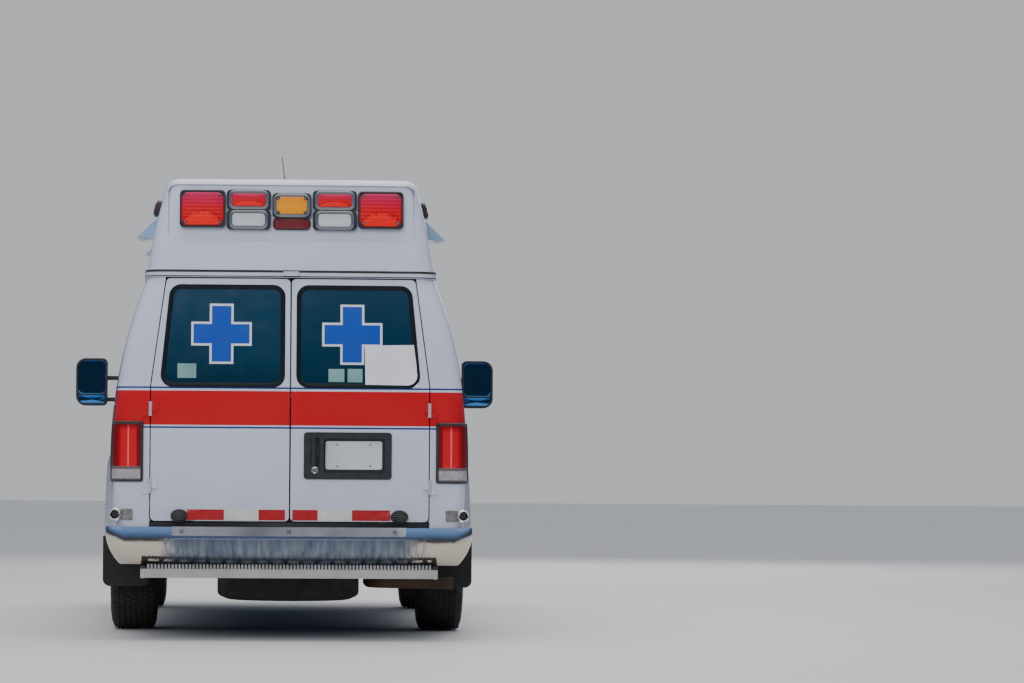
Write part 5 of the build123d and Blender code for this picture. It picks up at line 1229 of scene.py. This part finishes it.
# Side handles and flaps
# Black pull handles with chromed locks on the cab doors and the front side door, and the seam of a
# flush fuel flap on the left.
HANDLE_HEIGHT = 1.045
HANDLES = (
    ("cab_door_right", "right", 0.870),
    ("cab_door_left", "left", 0.870),
    ("side_door_front", "right", 0.130),
)
DOOR_LOCK_PROFILE = (
    (0, -0.006), (0.015, -0.006), (0.015, 0.002), (0.012, 0.0045), (0.009, 0.0045), (0.0085, 0.003),
    (0, 0.003),
)
ESCUTCHEON = ((1.0, -0.002), (1.0, 0.003), (0.95, 0.006), (0.80, 0.006), (0.74, 0.002), (0.3, 0.002))
for door, side_name, y in HANDLES:
    s, z = dict(SIDES)[side_name], HANDLE_HEIGHT
    looks = (housing_plastic, door, "black_plastic")
    door_place = layer(skin_of(door), side_name)
    dome(f"{door}_handle_cup", oblong((y, z), (0.176, 0.066), 0.018), door_place, ESCUTCHEON, *looks)
    base = door_place(y, z, 0.0).x
    x = sorted((base + s * 0.010, base + s * 0.022))
    grip = softened(*box_mesh(x, (y - 0.066, y + 0.066), (z - 0.014, z + 0.012)), 0.005)
    wear(f"{door}_handle_grip", grip, *looks)
    x = sorted((base - s * 0.002, base + s * 0.014))
    for k, end in enumerate((y - 0.058, y + 0.058)):
        leg = softened(*box_mesh(x, (end - 0.007, end + 0.007), (z - 0.010, z + 0.009)), 0.002)
        wear(f"{door}_handle_leg_{k + 1}", leg, *looks)
    lock = lathe(DOOR_LOCK_PROFILE, 28, door_place(y - 0.020, z - 0.070, 0.0), (s, 0, 0))
    piece(f"{door}_lock", *lock, chrome, door, "chrome")

FUEL_FLAP = ((-0.300, 0.860), (0.170, 0.180))
left_place = layer(skin_of("side_left"), "left")
seam_section = ((0.0022, -0.001), (0.0022, 0.0004), (-0.0022, 0.0004), (-0.0022, -0.001))
flap_outline = subdivided(oblong(*FUEL_FLAP, 0.020))
strip_round("fuel_flap_seam", flap_outline, left_place, seam_section, black_rubber, "root", "rubber")

# Front end
# Grey moulded grille and fluted lamp lenses with amber outer ends, black cowl and two wipers parked
# low on the screen.
GRILLE_TONES = ((0.085, 0.088, 0.094), (0.14, 0.14, 0.145))
grille_plastic = finish("grille_plastic", *GRILLE_TONES, (0.35, 0.5), 60.0, 0.2, 0.0006)
dress(grille_plastic, "grille")
COWL_TONES = ((0.020, 0.020, 0.021), (0.05, 0.048, 0.046))
cowl_plastic = finish("cowl_plastic", *COWL_TONES, (0.55, 0.75), 40.0, 0.3, 0.0008)
dress(cowl_plastic, "cowl_panel")
lamp_glass = new_material("front_lamp_lens", Coat_Weight=1.0, Coat_Roughness=0.03, Roughness=0.15)
tree = lamp_glass.node_tree
place, x, _, _ = where(tree)
aside = calc(tree, "ABSOLUTE", x)
lamp_tone = mix(tree, grain(tree, place, 18.0, 0.0, 1.0), (0.52, 0.55, 0.58), (0.34, 0.36, 0.39))
turn_part = calc(tree, "GREATER_THAN", aside, 0.772)
feed(lamp_glass, Base_Color=mix(tree, turn_part, lamp_tone, (0.75, 0.28, 0.02)))
relief(lamp_glass, ribs(tree, aside, 0.011), 0.5, 0.002)
dress(lamp_glass, "headlamps")


def tube(name, points, radius, *looks, steps=10, flat=1.0):
    """A closed round bar along points; flat squeezes its upright width."""
    points = [Vector(p) for p in points]
    verts = []
    for i, point in enumerate(points):
        along = (points[min(i + 1, len(points) - 1)] - points[max(i - 1, 0)]).normalized()
        side = along.cross(Vector((0, 0, 1))).normalized() if abs(along.z) < 0.95 else Vector((1, 0, 0))
        over = side.cross(along).normalized()
        ring = (math.tau * k / steps for k in range(steps))
        verts += [point + (side * math.cos(a) + over * math.sin(a) * flat) * radius for a in ring]
    last = (len(points) - 1) * steps
    ends = [tuple(reversed(range(steps))), tuple(last + k for k in range(steps))]
    return piece(name, verts, between(len(points), steps) + ends, *looks)


WIPER_PIVOTS = (("left", -0.480), ("right", 0.180))
WIPER_FOOT = (2.028, 1.300)
for name, pivot in WIPER_PIVOTS:
    tip = (pivot + 0.30, 1.405)
    arm = [(pivot, *WIPER_FOOT), (pivot + 0.02, 2.032, 1.335), screen_place(pivot + 0.06, 1.365, 0.030)]
    arm += [screen_place(pivot + 0.18, 1.385, 0.026), screen_place(*tip, 0.022)]
    tube(f"wiper_arm_{name}", arm, 0.0055, housing_plastic, "root", "black_plastic")
    blade = [screen_place(tip[0] + k * 0.05, tip[1] + 0.003 * k, 0.0085) for k in range(-5, 6)]
    tube(f"wiper_blade_{name}", blade, 0.0080, black_rubber, "root", "rubber", flat=0.5)

# Wheels
# Black radial tyres with five rows of tread blocks between shoulder blocks, on painted steel rims
# with eight nuts, a plain bright hub cover and a rubber valve.
TREAD_PITCHES = 66
TYRE_SECTION = (
    (0.2085, -0.0930), (0.2225, -0.1010), (0.2550, -0.1210), (0.2900, -0.1285),
    (0.3000, -0.1298), (0.3060, -0.1298), (0.3090, -0.1285), (0.3400, -0.1255),
    (0.3640, -0.1160), (0.3745, -0.1040), (0.3785, -0.0850), (0.3800, 0.0),
)
TREAD_ROWS = (
    (-0.074, -0.050, 0.0), (-0.042, -0.018, 0.5), (-0.010, 0.014, 0.0),
    (0.022, 0.046, 0.5), (0.054, 0.076, 0.0), (-0.112, -0.082, 0.25), (0.084, 0.114, 0.25),
)
TREAD_TOP = 0.3862
tyre_rubber = finish("tyre_rubber", *TYRE_LOOK)
RIM_TONES = ((0.36, 0.37, 0.38), (0.20, 0.18, 0.16))
rim_paint = finish("rim_paint", *RIM_TONES, (0.32, 0.55), 14.0, 0.2, 0.001, Metallic=0.6)


def ring_tree():
    """Geometry Nodes: the incoming part set round the X axis, then moved to its place."""
    tree, given = new_group("part_round_axle", Count="Int", Centre="Vector", Finish="Material")
    points = add(tree, "GeometryNodePoints", {"Count": given["Count"]}).outputs[0]
    share = calc(tree, "DIVIDE", add(tree, "GeometryNodeInputIndex").outputs[0], given["Count"])
    turn = add(tree, "ShaderNodeCombineXYZ", {"X": calc(tree, "MULTIPLY", share, math.tau)}).outputs[0]
    spread = {"Points": points, "Instance": given["Geometry"], "Rotation": turn}
    copies = add(tree, "GeometryNodeInstanceOnPoints", spread).outputs["Instances"]
    real = add(tree, "GeometryNodeRealizeInstances", {"Geometry": copies}).outputs["Geometry"]
    placed = add(tree, "GeometryNodeTransform", {"Geometry": real, "Translation": given["Centre"]})
    return give_out(tree, placed.outputs["Geometry"], given["Finish"])


def tread_pitch():
    """The blocks of one pitch of the tread at the top of the tyre, each row set on by its own share."""
    step = math.tau / TREAD_PITCHES
    verts, faces = [], []
    for x0, x1, shift in TREAD_ROWS:
        start = (shift - 0.5) * step
        k = len(verts)
        for x in (x0, x1):
            drop = 0.0095 if abs(x) > 0.1 else 0.0
            for share in (0.06, 0.50, 0.94):
                a = start + (share - 0.10 * (x - x0) / 0.024) * step
                for r in (TREAD_TOP - 0.010 - drop, TREAD_TOP - drop):
                    verts.append((x, r * math.sin(a), r * math.cos(a)))
        quads = [(0, 2, 3, 1), (2, 4, 5, 3), (6, 7, 9, 8), (8, 9, 11, 10), (0, 1, 7, 6), (4, 10, 11, 5)]
        quads += [(1, 3, 9, 7), (3, 5, 11, 9), (0, 6, 8, 2), (2, 8, 10, 4)]
        faces += [tuple(k + v for v in quad) for quad in quads]
    return mesh_of(verts, faces)


def centre_of(node):
    """The middle of a CAD node's box."""
    low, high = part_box(node)
    return (low + high) / 2


HUB_COVER = (
    (0, -0.004), (0.060, -0.004), (0.060, 0.004), (0.056, 0.012),
    (0.048, 0.016), (0.040, 0.024), (0.022, 0.030), (0, 0.031),
)
VALVE = ((0.070, 0.172, 0.02), (0.088, 0.165, 0.02), (0.104, 0.155, 0.02))
round_axle = ring_tree()
section = list(TYRE_SECTION) + [(r, -x) for r, x in reversed(TYRE_SECTION[:-1])]
section += [(0.2075, 0.060), (0.2075, -0.060), TYRE_SECTION[0]]
for end, side_name, s in [(end, *side) for end in ("front", "rear") for side in SIDES]:
    corner = f"{end}_{side_name}"
    centre, wheel = centre_of("tyre_" + corner), "wheel_" + corner
    dress(rim_paint, "rim_" + corner)
    carcass = mesh_of(*lathe(section, 96, centre, (1, 0, 0)))
    carcass = wear(f"carcass_{corner}", carcass, tyre_rubber, wheel, "tyre")
    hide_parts("tyre_" + corner)
    blocks = run_tree(round_axle, tread_pitch(), Count=TREAD_PITCHES, Centre=centre, Finish=tyre_rubber)
    wear(f"tread_{corner}", blocks, tyre_rubber, wheel, "tyre", smooth=False)
    rim_spots = [v.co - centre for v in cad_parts["rim_" + corner].data.vertices]
    hub_face = max(s * p.x for p in rim_spots if math.hypot(p.y, p.z) < 0.064)
    cover = lathe(HUB_COVER, 40, centre + Vector((s * hub_face, 0, 0)), (s, 0, 0))
    piece(f"hub_cover_{corner}", *cover, chrome, wheel, "chrome")
    stem = [centre + Vector((s * x, y, z)) for x, y, z in VALVE]
    tube(f"valve_{corner}", stem, 0.0055, black_rubber, wheel, "rubber")

# Interior fittings
# Pale laminate cabinet, bench box and bulkhead with aluminium edge trim, and a moulded dashboard and
# engine cover. The bench's own block is coloured as vinyl where the cushions lie on it.
LAMINATE_LOOK = ((0.50, 0.53, 0.54), (0.40, 0.43, 0.44), (0.32, 0.48), 40.0, 0.15, 0.0006)
VINYL_TONE = (0.050, 0.075, 0.120)
BENCH_TOP = 1.0802
laminate = finish("laminate", *LAMINATE_LOOK)
dress(laminate, "cabinet", "bulkhead")
bench_faces = finish("laminate_under_vinyl", *LAMINATE_LOOK)
tree = bench_faces.node_tree
covered = calc(tree, "GREATER_THAN", where(tree)[3], BENCH_TOP)
feed(bench_faces, Base_Color=mix(tree, covered, tone_of(bench_faces), VINYL_TONE))
dress(bench_faces, "bench")
DASH_TONES = ((0.040, 0.042, 0.047), (0.070, 0.072, 0.078))
dash_plastic = finish("dashboard_plastic", *DASH_TONES, (0.5, 0.7), 240.0, 0.4, 0.0005)
dress(dash_plastic, "dashboard", "cab_seats")
TRIM_TONES = ((0.60, 0.61, 0.62), (0.42, 0.42, 0.42))
trim_metal = finish("edge_trim_aluminium", *TRIM_TONES, (0.28, 0.42), 30.0, 0.2, 0.0005, Metallic=0.9)
CABINET_EDGES = {"low": (1.300, 1.325), "middle": (1.568, 1.592), "high": (1.868, 1.892)}
edges = {"bench_edge": ((0.424, 0.434), (-2.300, -0.600), (1.058, 1.080))}
for name, heights in CABINET_EDGES.items():
    edges["cabinet_edge_" + name] = ((-0.566, -0.556), (-2.400, 0.560), heights)
for name, edge in edges.items():
    wear(name, softened(*box_mesh(*edge), 0.002), trim_metal, "root", "steel")

# Cushions
# Foam under coated cloth: three pads on the bench and three behind it, and the two cab seats in woven
# cloth. Each starts a little small and is blown up as cloth; the sewn channels come after that.
VOXEL = 0.013
FRAMES = 20
seat_vinyl = finish("coated_cloth", VINYL_TONE, (0.075, 0.100, 0.150), (0.45, 0.65), 420.0, 0.45, 0.0005)
CLOTH_TONES = ((0.060, 0.063, 0.070), (0.10, 0.10, 0.108))
cab_cloth = finish("cab_seat_cloth", *CLOTH_TONES, (0.7, 0.9), 520.0, 0.6, 0.0006)


def blown(size, cap):
    """A pad of this size about its middle: a soft box blown up as cloth, with each point's travel capped."""
    half = [(-s / 2 + cap * 0.55, s / 2 - cap * 0.55) for s in size]
    start = softened(*box_mesh(*half), min(size) * 0.22, 3)
    carrier = linked("pad", start)
    even = carrier.modifiers.new("even", "REMESH")
    even.mode, even.voxel_size = "VOXEL", VOXEL
    before = evaluated(carrier)
    carrier.modifiers.remove(even)
    carrier.data = before
    cloth = carrier.modifiers.new("blow", "CLOTH")
    cloth.settings.use_pressure = True
    cloth.settings.uniform_pressure_force = 4.0
    cloth.settings.effector_weights.gravity = 0.0
    cloth.point_cache.frame_start, cloth.point_cache.frame_end = 1, FRAMES
    for k in range(1, FRAMES + 1):
        bpy.context.scene.frame_set(k)
    after = evaluated(carrier)
    for spot, moved in zip(before.vertices, after.vertices):
        travel = moved.co - spot.co
        spot.co += travel.normalized() * min(travel.length, cap) if travel.length > 1e-7 else travel
    bpy.context.scene.frame_set(1)
    bpy.data.objects.remove(carrier)
    return before


def pad(name, size, place, channels, cap, material):
    """A cushion: blown up, fitted to its size, sewn along channels across its second axis, then placed."""
    mesh = blown(size, cap).copy()
    for k in range(3):
        reach = max(abs(v.co[k]) for v in mesh.vertices)
        for v in mesh.vertices:
            v.co[k] *= size[k] / 2 / reach
    for v in mesh.vertices:
        edge = max(abs(v.co.x) / size[0], abs(v.co.y) / size[1]) * 2
        crown = max(0.0, 1 - edge ** 4)
        sewn = sum(math.exp(-(((v.co.y - at) / 0.009) ** 2)) for at in channels)
        hem = math.exp(-(((edge - 0.93) / 0.03) ** 2))
        if v.co.z > 0:
            v.co.z -= size[2] * (0.16 * (1 - crown) + 0.13 * min(1.0, sewn) + 0.05 * hem)
        v.co.x *= 1 - 0.012 * math.cos(math.pi * v.co.y / size[1])
    mesh.transform(place)
    mesh.update()
    made = wear(name, mesh, material, "root", "vinyl")
    finer = made.modifiers.new("finer", "SUBSURF")
    finer.levels = finer.render_levels = 1
    return made


QUARTER = math.radians(90)
BENCH_PADS = (-2.014, -1.444, -0.874)
BENCH_SEAT = {"size": (0.489, 0.571, 0.122), "x": 0.6475, "z": 1.125, "channels": (-0.13, 0.0, 0.13)}
BENCH_BACK = {"size": (0.380, 0.571, 0.100), "x": 0.842, "z": 1.380, "channels": (0.0,)}
for k, y in enumerate(BENCH_PADS):
    seat = Matrix.Translation((BENCH_SEAT["x"], y, BENCH_SEAT["z"]))
    pad(f"bench_pad_{k + 1}", BENCH_SEAT["size"], seat, BENCH_SEAT["channels"], 0.014, seat_vinyl)
    back = Matrix.Translation((BENCH_BACK["x"], y, BENCH_BACK["z"])) @ Matrix.Rotation(-QUARTER, 4, "Y")
    pad(f"bench_back_{k + 1}", BENCH_BACK["size"], back, BENCH_BACK["channels"], 0.012, seat_vinyl)

CAB_SEAT_X = 0.600
CAB_SEAT = {"size": (0.480, 0.500, 0.150), "y": 1.110, "z": 0.972, "channels": (-0.150, 0.150)}
CAB_BACK = {"size": (0.430, 0.600, 0.125), "rise": 0.300, "channels": (-0.10, 0.08, 0.20)}
HEAD_REST = {"size": (0.260, 0.165, 0.100), "rise": 0.675, "posts": (-0.06, 0.06), "gap": (0.585, 0.625)}
BACK_FOOT = (0.900, 1.000)
BACK_LEAN = math.radians(12)
SEAT_BASE = {"half": 0.190, "y": (0.900, 1.280), "z": (0.660, 0.900)}
flat_back = Matrix.Rotation(-QUARTER, 4, "X") @ Matrix.Rotation(2 * QUARTER, 4, "Z")
for side_name, s in SIDES:
    x = s * CAB_SEAT_X
    seat = Matrix.Translation((x, CAB_SEAT["y"], CAB_SEAT["z"])) @ Matrix.Rotation(QUARTER, 4, "Z")
    looks = (CAB_SEAT["channels"], 0.020, cab_cloth)
    cushion = pad(f"cab_seat_cushion_{side_name}", CAB_SEAT["size"], seat, *looks)
    lean = Matrix.Translation((x, *BACK_FOOT)) @ Matrix.Rotation(BACK_LEAN, 4, "X")
    back = lean @ Matrix.Translation((0, -0.004, CAB_BACK["rise"])) @ flat_back
    pad(f"cab_seat_back_{side_name}", CAB_BACK["size"], back, CAB_BACK["channels"], 0.020, cab_cloth)
    head = lean @ Matrix.Translation((0, -0.008, HEAD_REST["rise"])) @ flat_back
    pad(f"head_restraint_{side_name}", HEAD_REST["size"], head, (), 0.012, cab_cloth)
    sides = (x - SEAT_BASE["half"], x + SEAT_BASE["half"])
    base = softened(*box_mesh(sides, SEAT_BASE["y"], SEAT_BASE["z"]), 0.008)
    wear(f"cab_seat_base_{side_name}", base, dash_plastic, "root", "black_plastic")
    for k, dx in enumerate(HEAD_REST["posts"]):
        post = [lean @ Vector((dx, -0.008, z)) for z in HEAD_REST["gap"]]
        tube(f"head_post_{side_name}_{k + 1}", post, 0.006, chrome, "root", "chrome")
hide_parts("cab_seats")
